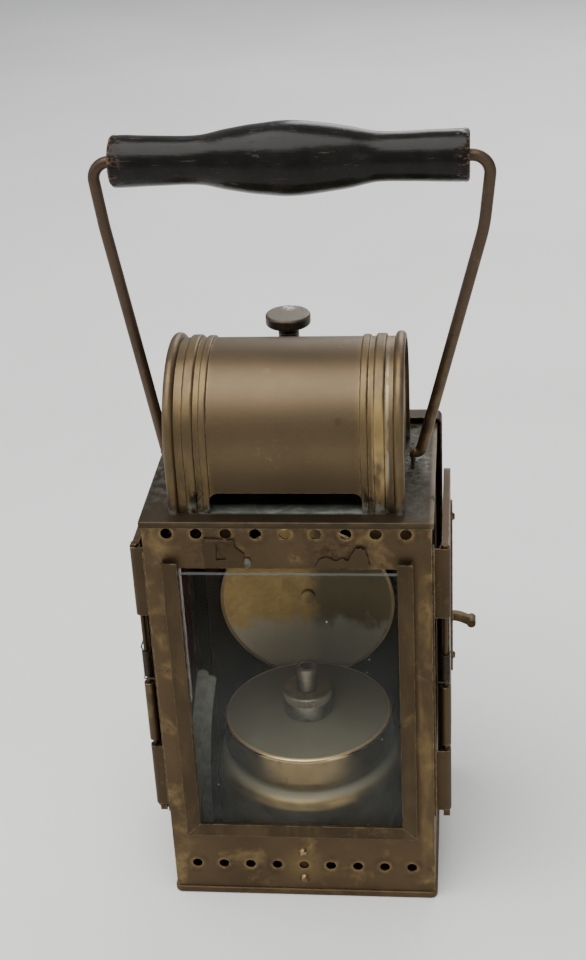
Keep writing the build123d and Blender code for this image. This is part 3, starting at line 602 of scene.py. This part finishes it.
def shutter_finish():
    """Shutters and their finger lugs."""
    look = bpy.context.scene.lantern_finishes
    f, colour, rough, height = brass_skin("shutter_brass", seed=8.0, patch=19.0, gold=0.30, lift=0.95)
    rear = f.y.step(18, 30) * f.clouds(6.0, 5.0, 0.6, stretch=(1, 1, 0.25), seed=51.0).step(0.4, 0.6)
    colour = f.mix(rear * 0.4, colour, look.gold)
    colour, worn = rub_edges(f, colour, 0.6, 0.6)
    return f.finish(colour, rough - worn * 0.12, 0.86, height, depth=0.18)


def hinge_finish():
    """Shutter and door hinges: brown brass, rubbed where the leaves meet."""
    f, colour, rough, height = brass_skin("hinge_brass", seed=9.0, patch=8.0, gold=0.2, lift=0.9)
    colour, worn = rub_edges(f, colour, 0.4, 0.7)
    return f.finish(colour, rough - worn * 0.12, 0.86, height, depth=0.10)


def door_finish():
    """Rear door: brown outside, with painted shade inside its flange."""
    look = bpy.context.scene.lantern_finishes
    f, colour, rough, height = brass_skin("door_brass", seed=11.0, patch=24.0, gold=0.35)
    # painted shade: the door's inner face inside the flange is darkened
    inside = f.y.step(45.1, 44.6) * abs(f.x).step(57.3, 57.0)
    colour = f.mix(inside * 0.7, colour, [c * 0.3 for c in look.skin_dark])
    rubs = f.near(43.5, 46, 95, 22) * f.clouds(3.0, 4.0, seed=61.0).step(0.4, 0.6)
    colour = f.mix(rubs * 0.6, colour, look.gold)
    colour, worn = rub_edges(f, colour, 0.6, 0.6)
    return f.finish(colour, rough - worn * 0.12, 0.86, height, depth=0.18)


def damper_finish():
    """Swinging damper plate: dark with soot."""
    look = bpy.context.scene.lantern_finishes
    f, colour, rough, height = brass_skin("damper_brass", seed=12.0, patch=9.0, gold=0.05, lift=0.6)
    soot = f.clouds(6.0, 5.0, 0.65, seed=71.0).step(0.35, 0.6)
    colour = f.mix(soot * 0.7, colour, [c * 0.2 for c in look.skin_dark])
    return f.finish(colour, rough + 0.15, 0.7, height, depth=0.12)


def wire_finish():
    """Bail wire: brown, rubbed gold low on the right and on its bends."""
    look = bpy.context.scene.lantern_finishes
    f, colour, rough, height = brass_skin(
        "bail_wire", seed=13.0, patch=14.0, gold=0.10, tint=(1.0, 1.03, 1.30), lift=1.12)
    low = f.x.step(40, 50) * f.z.step(250, 200) * f.clouds(8.0, 4.0, seed=81.0).step(0.35, 0.6)
    colour = f.mix(low * 0.45, colour, look.gold)
    rings = f.clouds(1.6, 3.0, 0.6, stretch=(0.3, 0.3, 1.6), seed=82.0).step(0.55, 0.7)
    colour = f.mix(rings * 0.3, colour, look.skin_dark)
    return f.finish(colour, rough - 0.04, 0.86, height + rings * 0.2, depth=0.09, soften=0)


def nickel_finish():
    """Knob and bush: worn nickel, taupe, painted lighter on the flat top, with painted shade on the side and a
    painted glint on the top.
    """
    f = Finish("knob_nickel")
    blot = f.clouds(4.0, 5.0, 0.62, seed=91.0)
    grain = f.clouds(0.7, 3.0, 0.7, seed=92.0)
    colour = f.mix(blot.step(0.35, 0.65), (0.064, 0.050, 0.036), (0.112, 0.092, 0.070))
    # painted light: faces that look up are painted lighter
    top = f.up().step(0.6, 0.95)
    colour = f.mix(top * 0.75, colour, (0.150, 0.127, 0.097))
    # painted shade on the knob's side
    side = f.z.within(236.0, 238.6, 0.4) * (1.0 - top)
    colour = f.mix(side * 0.7, colour, (0.034, 0.025, 0.021))
    # painted highlight: a near-white glint on the top near its rear edge
    painted_glint = f.near(-2.0, 26.0, 239.6, 3.8) * f.clouds(1.1, 3.0, seed=93.0).step(0.35, 0.6)
    colour = f.mix(painted_glint, colour, (0.85, 0.82, 0.76))
    scuff = f.clouds(0.8, 4.0, 0.7, stretch=(0.2, 1, 1), seed=94.0).step(0.62, 0.7)
    colour = f.mix(scuff * 0.3, colour, (0.5, 0.46, 0.40))
    worn = f.edges(0.5) * 0.5
    colour = f.mix(worn, colour, (0.50, 0.45, 0.38))
    return f.finish(colour, 0.36 + blot * 0.2, 0.85, blot + grain * 0.3, depth=0.10)


def steel_finish():
    """Shutter springs: dark wire with a little rust."""
    f = Finish("spring_steel")
    blot = f.clouds(3.0, 5.0, 0.6, seed=95.0)
    rust = f.clouds(1.8, 5.0, 0.7, seed=96.0).step(0.52, 0.66)
    colour = f.mix(blot.step(0.3, 0.7), (0.036, 0.029, 0.021), (0.074, 0.060, 0.044))
    colour = f.mix(rust * 0.6, colour, (0.060, 0.032, 0.017))
    return f.finish(colour, 0.42 + blot * 0.2, 0.75, blot, depth=0.05, soften=0.15)


def solder_finish():
    """Old solder: dull grey-brown."""
    f = Finish("solder")
    blot = f.clouds(1.8, 5.0, 0.65, seed=97.0)
    colour = f.mix(blot.step(0.35, 0.65), (0.065, 0.058, 0.044), (0.145, 0.132, 0.108))
    return f.finish(colour, 0.58 + blot * 0.25, 0.45, blot, depth=0.25, soften=0)


def burner_finish():
    """Collar, wick tube and ring: worn nickel with a brass tinge."""
    f = Finish("burner_nickel")
    blot = f.clouds(5.0, 5.0, 0.6, seed=101.0)
    grain = f.clouds(0.8, 3.0, 0.7, seed=102.0)
    colour = f.mix(blot.step(0.35, 0.65), (0.185, 0.180, 0.150), (0.330, 0.320, 0.275))
    tube = f.z.step(68.0, 70.0)
    colour = f.mix(tube * 0.55, colour, (0.30, 0.255, 0.165))
    worn = f.edges(0.4)
    colour = f.mix(worn * 0.7, colour, (0.75, 0.73, 0.68))
    return f.finish(colour, 0.36 + blot * 0.18, 0.85, blot + grain * 0.4, depth=0.07)


def tank_finish():
    """Tank: grey-green dust on top, bright rims, beige band and gold shoulder."""
    look = bpy.context.scene.lantern_finishes
    f = Finish("tank_brass")
    blot = f.clouds(9.0, 5.0, 0.6, seed=111.0)
    grain = f.clouds(0.9, 3.0, 0.7, seed=112.0)
    brushed = f.clouds(1.0, 3.0, 0.6, stretch=(0.4, 0.4, 3.0), seed=113.0)
    colour = f.mix(blot.step(0.3, 0.7), (0.235, 0.160, 0.058), (0.350, 0.255, 0.105))
    side = f.z.within(50.5, 61.8, 0.3)
    colour = f.mix(side * 0.5, colour, (0.235, 0.175, 0.100))
    stains = f.clouds(4.0, 5.0, 0.7, stretch=(1, 1, 0.6), seed=114.0).step(0.54, 0.64)
    colour = f.mix(stains * side * 0.4, colour, look.skin_dark)
    dusty = f.up().step(0.55, 0.95)
    colour = f.mix(dusty * (0.70 + blot * 0.3), colour, (0.205, 0.206, 0.150))
    from_axis = (f.x * f.x + (f.y - 1.0) * (f.y - 1.0)) ** 0.5
    rim = from_axis.within(34.6, 36.8, 0.2) * f.z.step(61.3, 62.2)
    colour = f.mix(rim * 0.9, colour, (0.72, 0.55, 0.28))
    colour = f.mix(f.edges(0.6) * 0.4, colour, look.bright)
    metal = 0.92 - dusty * 0.55 + rim * 0.4
    rough = 0.26 + blot * 0.12 + grain * 0.06 + dusty * 0.30 - rim * 0.16
    return f.finish(colour, rough, metal.least(1.0), blot + grain * 0.2 + brushed * 0.3, depth=0.08)


def reflector_finish():
    """Dish: orange-gold brass, with painted reflections: olive-brown on its right, pale and dull below, bright at
    the rim.
    """
    look = bpy.context.scene.lantern_finishes
    f = Finish("reflector_brass")
    blot = f.clouds(11.0, 6.0, 0.62, seed=121.0, warp=0.8)
    spots = f.clouds(3.4, 5.0, 0.65, seed=122.0)
    dx, dz = f.x + 2.4, f.z - 94.0
    # painted reflections: the right side turns olive-brown and the lower part turns pale
    right = (dx + (blot - 0.5) * 16.0).step(-1.0, 6.0)
    below = (dz + (blot - 0.5) * 22.0).step(-9.0, -17.0)
    colour = f.mix(blot.step(0.25, 0.75), (0.54, 0.36, 0.135), (0.74, 0.52, 0.22))
    colour = f.mix(spots.step(0.45, 0.70) * 0.35, colour, (0.40, 0.265, 0.105))
    colour = f.mix(right * 0.88, colour, (0.185, 0.155, 0.092))
    colour = f.mix(below * 0.75, colour, (0.70, 0.66, 0.52))
    # painted reflection: a brighter ring at the rim
    rim = ((dx * dx + dz * dz) ** 0.5).step(36.6, 37.8)
    colour = f.mix(rim * 0.6, colour, look.bright)
    rough = 0.38 + blot * 0.14 + below * 0.14 + right * 0.08
    return f.finish(colour, rough, 0.88, blot + spots * 0.3, depth=0.12)


# ---------------------------------------------------------------- other finishes
def grip_finish():
    """Black gloss paint over wood, with long scratches, rubs and chips."""
    look = bpy.context.scene.lantern_finishes
    low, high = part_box("grip")
    middle, half = (low.x + high.x) / 2 / MM, (high.x - low.x) / 2 / MM
    f = Finish("grip_wood")
    along = abs(f.x - middle)
    hair = f.clouds(0.9, 4.0, 0.65, stretch=(0.045, 1, 1), seed=131.0)
    nicks = f.clouds(1.5, 5.0, 0.7, stretch=(0.55, 1, 1), seed=132.0)
    wide = f.clouds(11.0, 4.0, 0.6, seed=133.0)
    ends = along.step(half - 6.5, half - 0.5)
    centre = along.step(11.0, 2.0)
    chips = nicks.step(0.66, 0.70) * (centre * 0.9 + ends).least(1.0) * wide.step(0.42, 0.55)
    chips = chips.most(ends * nicks.step(0.56, 0.61))
    chips = chips.most(along.step(half - 1.3, half - 0.6) * nicks.step(0.47, 0.53))
    faint = hair.step(0.60, 0.68) * wide.step(0.40, 0.60)
    colour = f.mix(wide.step(0.35, 0.7) * 0.7, look.black, (0.014, 0.012, 0.010))
    colour = f.mix(faint * 0.40, colour, (0.085, 0.068, 0.055))
    colour = f.mix(chips * 0.9, colour, look.wood)
    dry = f.clouds(1.1, 4.0, 0.65, stretch=(0.1, 1, 1), seed=134.0)
    colour = f.mix(chips * dry.step(0.4, 0.6) * 0.5, colour, (0.06, 0.032, 0.018))
    rough = 0.15 + wide * 0.10 + faint * 0.2 + chips * 0.4
    height = hair * 0.35 + wide * 0.9 - faint * 0.25 - chips * 1.3 + dry * chips * 0.3
    gloss = {"Specular IOR Level": 0.15}
    return f.finish(colour, rough, 0.0, height, depth=0.16, soften=0, **gloss)


def glass_finish(name, tint, veil, haze, specks=True):
    """Old sheet glass with a film of dust, thicker on its top edge and in specks; with specks, its side edges get
    painted shade.
    """
    f = Finish(name)
    film = f.clouds(24.0, 4.0, 0.6, seed=141.0)
    smear = f.clouds(5.0, 5.0, 0.6, stretch=(1, 1, 0.3), seed=142.0)
    dots = f.cells(9.0, seed=143.0).step(0.045, 0.02) * f.clouds(14.0, 2.0, seed=144.0).step(0.5, 0.58)
    colour = f.mix(film.step(0.35, 0.65) * 0.5, tint, [min(1.0, c * 1.25) for c in tint])
    settled = f.z.step(150.0, 70.0) * 0.8 + 0.2
    alpha = veil + (film * haze + smear * haze * 0.5) * settled
    if specks:
        colour = f.mix(dots, colour, (0.75, 0.75, 0.70))
        alpha = alpha.most(dots * 0.8)
    edge = f.up().step(0.5, 0.9)
    alpha = alpha.most(edge * 0.6)
    colour = f.mix(edge * 0.8, colour, (0.13, 0.145, 0.14))
    # painted shade: with specks, the pane's side edges, which sit in the channels, are painted almost black and
    # opaque
    flank = abs(f.split(f.node("ShaderNodeTexCoord", output="Normal"))[0]).step(0.5, 0.9)
    if specks:
        colour = f.mix(flank, colour, (0.012, 0.012, 0.010))
        alpha = alpha.most(flank)
    rough = 0.09 + film * 0.07 + flank * (0.6 if specks else 0.0)
    ripple = film + smear * (0.3 if specks else 0.02)
    return f.finish(colour, rough, 0.0, ripple, depth=0.05, soften=0, Alpha=alpha, IOR=1.52)


def wick_finish():
    """Cotton wick, charred at its top."""
    f = Finish("wick_cotton")
    strands = f.clouds(0.7, 4.0, 0.6, stretch=(1, 1, 0.5), seed=151.0)
    colour = f.mix(strands.step(0.3, 0.7), (0.34, 0.29, 0.22), (0.56, 0.51, 0.42))
    char = (f.z + strands * 2.0).step(79.5, 83.0)
    colour = f.mix(char, colour, (0.012, 0.011, 0.010))
    return f.finish(colour, 0.9, 0.0, strands, depth=0.12, soften=0, **{"Sheen Weight": 0.2})


def floor_finish():
    """Pale floor with faint wide clouds."""
    f = Finish("studio_floor")
    wide = f.clouds(220.0, 4.0, 0.5, seed=161.0)
    colour = f.mix(wide.step(0.3, 0.7), (0.77, 0.775, 0.765), (0.83, 0.835, 0.825))
    return f.finish(colour, 0.62, 0.0, wide, depth=0.1, soften=0)


# ---------------------------------------------------------------- operators
def dress(slot, material):
    """Give every CAD node of a record slot its finish."""
    rows = [row["node"] for row in frame["record"]["subparts"] if row["material_slot"] == slot]
    if not rows:
        raise RuntimeError("no node uses the slot " + slot)
    for name in rows:
        node = NODES[name]
        node.data.materials.clear()
        node.data.materials.append(material)


class LANTERN_OT_brass(bpy.types.Operator):
    """Finish every sheet-brass node"""

    bl_idname = "lantern.brass"
    bl_label = "Finish the brass"

    def execute(self, context):
        dress("case_brass", case_finish())
        dress("roof_brass", roof_finish())
        dress("hood_brass", hood_finish())
        dress("channel_brass", channel_finish())
        dress("shutter_brass", shutter_finish())
        dress("hinge_brass", hinge_finish())
        dress("door_brass", door_finish())
        dress("damper_brass", damper_finish())
        dress("bail_wire", wire_finish())
        NODES["front_rivets"].data.materials[0] = rivet_finish()
        return {"FINISHED"}


class LANTERN_OT_lamp(bpy.types.Operator):
    """Finish the tank, burner, reflector, knob and panes"""

    bl_idname = "lantern.lamp"
    bl_label = "Finish the lamp and panes"

    def execute(self, context):
        look = context.scene.lantern_finishes
        dress("knob_nickel", nickel_finish())
        dress("spring_steel", steel_finish())
        NODES["tank_clip"].data.materials[0] = prong_finish()
        dress("burner_nickel", burner_finish())
        dress("tank_brass", tank_finish())
        dress("reflector_brass", reflector_finish())
        dress("clear_glass", glass_finish("clear_glass", (0.15, 0.155, 0.145), 0.004, 0.110))
        dress("red_glass", glass_finish("red_glass", look.red, 0.62, 0.10, False))
        dress("green_glass", glass_finish("green_glass", look.green, 0.62, 0.10, False))
        return {"FINISHED"}


class LANTERN_OT_grip(bpy.types.Operator):
    """Turn the wooden grip, with chipped paint at its ends"""

    bl_idname = "lantern.grip"
    bl_label = "Build the grip"

    def execute(self, context):
        depth = context.scene.lantern_sizes.grip_chips
        low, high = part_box("grip")
        middle = (low + high) / 2
        half = (high.x - low.x) / 2
        belly = (high.z - low.z) / 2
        end_r, waist_r, hole_r = 9.85 * MM, 9.1 * MM, 2.31 * MM
        rise = [
            (0.0, belly), (11.5 * MM, belly - 0.9 * MM), (22.5 * MM, belly - 2.6 * MM),
            (33.0 * MM, waist_r), (46.0 * MM, waist_r), (half, end_r)]
        knots = [(-at, r) for at, r in rise[:0:-1]] + rise

        def radius(at):
            """Smooth curve through the knots."""
            n = len(knots)
            i = max(0, min(n - 2, next((k for k in range(n - 1) if at <= knots[k + 1][0]), n - 2)))
            (x0, r0), (x1, r1) = knots[i], knots[i + 1]
            before, after = knots[max(i - 1, 0)], knots[min(i + 2, n - 1)]
            m0 = (r1 - before[1]) / (x1 - before[0])
            m1 = (after[1] - r0) / (after[0] - x0)
            t = (at - x0) / (x1 - x0)
            w = x1 - x0
            start = (2 * t**3 - 3 * t**2 + 1) * r0 + (t**3 - 2 * t**2 + t) * w * m0
            return start + (3 * t**2 - 2 * t**3) * r1 + (t**3 - t**2) * w * m1

        def worn(r, along, angle):
            if r < 4 * MM:
                return 0.0
            spot = Vector((along * 900, cos(angle) * 8, sin(angle) * 8))
            sway = 0.12 * MM * noise.noise(spot * 0.12)
            close = max(0.0, 1 - (half - abs(along)) / (7 * MM))
            chip = depth * close * max(0.0, noise.noise(spot * 0.45 + Vector((3, 1, 0))) - 0.05) * 2.2
            return sway * (1 - close) - chip - 0.12 * MM * close

        rounding = 1.5 * MM
        steps = 150
        profile = [(hole_r, -half), (end_r - rounding, -half)]
        shoulder = end_r - rounding
        corner = (0.4, 0.8, 1.2)
        profile += [(shoulder + rounding * sin(a), -half + rounding * (1 - cos(a))) for a in corner]
        for i in range(steps + 1):
            at = -half + rounding + (2 * half - 2 * rounding) * i / steps
            profile.append((radius(at), at))
        profile += [(shoulder + rounding * sin(a), half - rounding * (1 - cos(a))) for a in corner[::-1]]
        profile += [(end_r - rounding, half), (hole_r, half)]

        def place(r, along, angle):
            return Vector((middle.x + along, middle.y + r * cos(angle), middle.z + r * sin(angle)))

        points, faces = lathe(profile, 96, place, worn)
        made = mesh_object("grip_turned", points, faces, grip_finish())
        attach(made, "grip")
        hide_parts("grip")
        return {"FINISHED"}


class LANTERN_OT_springs(bpy.types.Operator):
    """Wind the two shutter springs"""

    bl_idname = "lantern.springs"
    bl_label = "Build the springs"

    def execute(self, context):
        sizes = context.scene.lantern_sizes
        steel = bpy.data.materials["spring_steel"]
        for side, sign in (("right", 1), ("left", -1)):
            low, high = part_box(side + "_spring")
            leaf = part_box(side + "_hinge_leaf")
            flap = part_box(side + "_flap")
            axis = Vector(JOINTS[side + "_shutter_swing"]["pos_m"])
            wire, coil = sizes.spring_wire, sizes.spring_coil
            z0, z1 = low.z + wire, high.z - wire
            wall = abs(leaf[0].x if sign > 0 else leaf[1].x) + wire + 0.1 * MM
            face = abs(flap[1].x if sign > 0 else flap[0].x) + wire + 0.05 * MM
            out = abs(axis.x) + coil
            wound = []
            steps = sizes.spring_turns * 20
            for i in range(steps + 1):
                a = 2 * pi * sizes.spring_turns * i / steps
                z = z0 + (z1 - z0) * i / steps
                wound.append(Vector((abs(axis.x) + coil * cos(a), axis.y + coil * sin(a), z)))
            wall_leg = [
                Vector((wall, axis.y - 2.2 * MM, z0)),
                Vector((out - 0.5 * MM, axis.y - 2.2 * MM, z0)),
                Vector((out - 0.1 * MM, axis.y - 1.7 * MM, z0)),
            ]
            flap_leg = [
                Vector((out - 0.1 * MM, axis.y + 0.8 * MM, z1)),
                Vector((face, axis.y + 2.4 * MM, z1)),
                Vector((face, axis.y + 7.0 * MM, z1)),
                Vector((face, axis.y + 12.0 * MM, z1)),
            ]
            path = [Vector((sign * p.x, p.y, p.z)) for p in wall_leg + wound + flap_leg]
            points, faces = tube(path, wire)
            made = mesh_object("spring_wound_" + side, points, faces, steel)
            start, end = Vector((axis.x, axis.y, z0)), Vector((axis.x, axis.y, z1))
            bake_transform(made)
            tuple(start)
            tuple(end)
            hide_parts(side + "_spring")
        return {"FINISHED"}


class LANTERN_OT_clips(bpy.types.Operator):
    """Cut the slotted clip and the torn clip above the pane"""

    bl_idname = "lantern.clips"
    bl_label = "Build the pane clips"

    def execute(self, context):
        brass = clip_finish()
        turn = Matrix.Rotation(radians(90), 4, "X")

        low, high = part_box("pane_clip_left")
        top = high.z - low.z
        x0, z0 = low.x / MM, low.z / MM
        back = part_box("front_panel")[0].y
        place = Matrix.Translation((0, back - 0.42 * MM, 0)) @ turn
        outline = ragged([(x0, z0), (x0 + 15.4, z0 + 0.2), (x0 + 15.4, z0 + 6.4), (x0 + 12.2, z0 + 9.2),
                          (x0 + 11.8, z0 + top / MM - 0.6), (x0 + 0.4, z0 + top / MM)], 0.22, seed=2.0)
        slot = [(x0 + 4.6, z0 + 3.4), (x0 + 8.4, z0 + 3.8), (x0 + 8.6, z0 + 10.4), (x0 + 4.9, z0 + 10.9)]

        def curl(p):
            """A low ridge beside the slot."""
            ridge = exp(-(((p.x / MM - x0 - 9.6) / 1.0) ** 2)) if p.y / MM > z0 + 3 else 0.0
            return Vector((p.x, p.y, p.z + 0.5 * MM * ridge))

        left = cut_plate("clip_slotted", outline, [slot], 0.8, 0.18, place, brass, curl)
        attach(left, "case")
        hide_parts("pane_clip_left")

        low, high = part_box("pane_clip_right")
        x0, z0 = low.x / MM, low.z / MM
        torn_edge = [
            (0, 0.6), (5.0, 0), (13.0, 0.3), (20.9, 1.2), (20.6, 4.4), (19.6, 8.8), (16.2, 9.3),
            (14.2, 6.6), (13.2, 3.4), (11.2, 4.6), (8.4, 3.3), (5.2, 4.9), (2.2, 4.2)]
        outline = ragged([(x0 + x, z0 + z) for x, z in torn_edge], 0.5, seed=5.0)

        def lift(p):
            """The torn edge stands off the panel."""
            torn = max(0.0, min(1.0, (p.y / MM - z0 - 4.0) / 4.0))
            return Vector((p.x, p.y, p.z + 0.55 * MM * torn))

        right = cut_plate("clip_torn", outline, [], 0.8, 0.15, place, brass, lift)
        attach(right, "case")
        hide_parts("pane_clip_right")
        return {"FINISHED"}


class LANTERN_OT_burner(bpy.types.Operator):
    """Turn the knurled burner collar and braid the wick"""

    bl_idname = "lantern.burner"
    bl_label = "Build the burner collar and wick"

    def execute(self, context):
        teeth = context.scene.lantern_sizes.knurls
        low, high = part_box("burner_collar")
        middle = (low + high) / 2
        outer, inner = (high.x - low.x) / 2 - 0.15 * MM, 4.06 * MM
        tall = high.z - low.z
        band = (tall - 4.0 * MM, tall - 0.7 * MM)
        profile = [
            (inner, 0.0), (outer - 0.5 * MM, 0.0), (outer - 0.12 * MM, 0.35 * MM),
            (outer - 0.05 * MM, 1.2 * MM)]
        profile += [(outer - 0.1 * MM, tall - 4.6 * MM), (outer - 0.3 * MM, tall - 4.3 * MM)]
        profile += [(outer, band[0] + (band[1] - band[0]) * i / 6) for i in range(7)]
        profile += [
            (outer - 0.35 * MM, tall - 0.3 * MM), (outer - 0.9 * MM, tall),
            (outer - 3.0 * MM, tall - 0.15 * MM), (inner + 0.5 * MM, tall - 0.1 * MM),
            (inner, tall - 0.4 * MM)]

        def knurl(r, along, angle):
            on = 1.0 if band[0] <= along <= band[1] else 0.0
            return on * 0.15 * MM * (1 if (angle * teeth / (2 * pi)) % 1 < 0.5 else -1)

        def place(r, along, angle):
            return Vector((middle.x + r * cos(angle), middle.y + r * sin(angle), low.z + along))

        points, faces = lathe(profile, teeth * 4, place, knurl)
        collar = mesh_object("collar_knurled", points, faces, bpy.data.materials["burner_nickel"])
        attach(collar, "burner")
        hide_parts("burner_collar")

        low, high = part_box("wick")
        middle = (low + high) / 2
        radius = (high.x - low.x) / 2 - 0.12 * MM
        start = high.z - 14 * MM

        def braid(r, along, angle):
            if r < 0.6 * radius:
                return 0.0
            weave = sin(6 * angle + along / MM * 2.4) * sin(6 * angle - along / MM * 2.4)
            return 0.11 * MM * weave

        steps = 70
        straight = high.z - start - 0.5 * MM
        profile = [(0.02 * MM, 0.0)]
        profile += [(radius, straight * i / steps) for i in range(steps + 1)]
        profile += [(radius * 0.75, high.z - start - 0.1 * MM), (0.02 * MM, high.z - start - 0.25 * MM)]

        def upright(r, along, angle):
            return Vector((middle.x + r * cos(angle), middle.y + r * sin(angle), start + along))

        points, faces = lathe(profile, 72, upright, braid)
        wick = mesh_object("wick_braided", points, faces, wick_finish())
        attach(wick, "case")
        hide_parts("wick")
        return {"FINISHED"}


class LANTERN_OT_solder(bpy.types.Operator):
    """Leave old solder round the bail lugs and beside the slotted clip"""

    bl_idname = "lantern.solder"
    bl_label = "Add the old solder"

    def execute(self, context):
        tin = solder_finish()
        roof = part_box("roof_plate")[1].z - 0.05 * MM
        lug_low, lug_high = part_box("bail_lug_right")
        spots = [
            ("solder_lug_right", (lug_high.x + 2.4 * MM, lug_low.y + 1.0 * MM), 2.4, 6.0, 0.28, 1.0),
            ("solder_lug_right_rear", (lug_high.x - 1.0 * MM, lug_high.y + 6.0 * MM), 2.6, 3.2, 0.25, 4.0),
            ("solder_lug_left", (-lug_high.x - 2.2 * MM, lug_low.y + 3.0 * MM), 2.1, 4.6, 0.25, 7.0),
        ]
        for name, (x, y), half_x, half_y, height, seed in spots:
            blob = solder_blob(name, Vector((x, y, roof)), half_x * MM, half_y * MM, height * MM, seed, tin)
            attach(blob, "case")
        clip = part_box("pane_clip_left")
        blob = solder_blob("solder_clip", Vector((0, 0, 0)), 1.3 * MM, 2.3 * MM, 0.5 * MM, 9.0, tin)
        place = Matrix.Translation(
            (clip[1].x - 1.7 * MM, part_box("front_panel")[0].y - 0.7 * MM, clip[0].z + 2.4 * MM))
        blob.data.transform(place @ Matrix.Rotation(radians(90), 4, "X"))
        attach(blob, "case")
        return {"FINISHED"}


class LANTERN_OT_stage(bpy.types.Operator):
    """Set the floor, the camera and the lights"""

    bl_idname = "lantern.stage"
    bl_label = "Set the stage"

    def execute(self, context):
        studio = context.scene.lantern_studio
        half = context.scene.lantern_sizes.floor / 2
        corners = [(-half, -half, 0), (half, -half, 0), (half, half, 0), (-half, half, 0)]
        floor = mesh_object("studio_floor", corners, [(0, 1, 2, 3)], floor_finish(), smooth=False)

        turn = Matrix.Rotation(studio.yaw, 3, "Z")
        ahead = turn @ Vector((0, cos(studio.pitch), -sin(studio.pitch)))
        right = turn @ Vector((1, 0, 0))
        up = right.cross(ahead)
        across = cos(studio.roll) * right + sin(studio.roll) * up
        top = cos(studio.roll) * up - sin(studio.roll) * right
        camera = bpy.data.cameras.new("camera")
        camera.lens = studio.lens
        camera.sensor_width = 36.0
        camera.clip_start, camera.clip_end = 0.01, 50.0
        holder = bpy.data.objects.new("camera", camera)
        pose = Matrix((across, top, -ahead)).transposed().to_4x4()
        pose.translation = Vector(studio.camera_place)
        holder.matrix_world = pose
        context.scene.collection.objects.link(holder)
        context.scene.camera = holder

        world = bpy.data.worlds.new("room")
        world.use_nodes = True
        background = world.node_tree.nodes["Background"]
        background.inputs["Color"].default_value = (0.95, 0.98, 1.0, 1.0)
        background.inputs["Strength"].default_value = studio.sky
        context.scene.world = world

        aim = Vector((0, 0, 0.15))
        lamps = [
            ("key", (-0.25, -0.35, 1.5), 1.3, 1.0, (1.0, 0.985, 0.95)),
            ("front", (0.9, -1.3, 0.75), 0.5, 0.06, (1.0, 0.98, 0.95)),
            ("side", (-1.3, -0.3, 0.7), 0.4, 0.09, (0.95, 0.98, 1.0)),
            ("rear", (0.3, 1.4, 0.9), 0.9, 0.30, (1.0, 1.0, 1.0)),
        ]
        for name, where, size, share, colour in lamps:
            lamp = bpy.data.lights.new(name, "AREA")
            lamp.shape = "SQUARE"
            lamp.size = size
            lamp.energy = studio.key * share
            lamp.color = colour
            made = bpy.data.objects.new(name, lamp)
            made.location = where
            made.rotation_euler = (aim - Vector(where)).to_track_quat("-Z", "Y").to_euler()
            context.scene.collection.objects.link(made)
        return {"FINISHED"}


class LANTERN_PT_sidebar(bpy.types.Panel):
    """The lantern's pieces and settings"""

    bl_idname = "LANTERN_PT_sidebar"
    bl_label = "Lantern"
    bl_space_type = "VIEW_3D"
    bl_region_type = "UI"
    bl_category = "Lantern"

    def draw(self, context):
        for group_name in GROUPS:
            group = getattr(context.scene, group_name)
            box = self.layout.box()
            for name in group.__annotations__:
                box.prop(group, name)
        for operator in STEPS:
            self.layout.operator(operator.bl_idname)


STEPS = (
    LANTERN_OT_brass,
    LANTERN_OT_lamp,
    LANTERN_OT_grip,
    LANTERN_OT_springs,
    LANTERN_OT_clips,
    LANTERN_OT_burner,
    LANTERN_OT_solder,
    LANTERN_OT_stage,
)
GROUPS = {
    "lantern_finishes": LanternFinishes,
    "lantern_sizes": LanternSizes,
    "lantern_studio": LanternStudio,
}


def register():
    """Register the settings, the operators and the panel."""
    for group in GROUPS.values():
        bpy.utils.register_class(group)
    for name, group in GROUPS.items():
        setattr(bpy.types.Scene, name, bpy.props.PointerProperty(type=group))
    for operator in STEPS:
        bpy.utils.register_class(operator)
    bpy.utils.register_class(LANTERN_PT_sidebar)


def unregister():
    """Undo register."""
    bpy.utils.unregister_class(LANTERN_PT_sidebar)
    for operator in reversed(STEPS):
        bpy.utils.unregister_class(operator)
    for name in GROUPS:
        delattr(bpy.types.Scene, name)
    for group in reversed(list(GROUPS.values())):
        bpy.utils.unregister_class(group)


def main():
    """Build the lantern's looks."""
    register()
    bpy.ops.lantern.brass()
    bpy.ops.lantern.lamp()
    bpy.ops.lantern.grip()
    bpy.ops.lantern.springs()
    bpy.ops.lantern.clips()
    bpy.ops.lantern.burner()
    bpy.ops.lantern.solder()
    bpy.ops.lantern.stage()


if __name__ == "__main__":
    main()
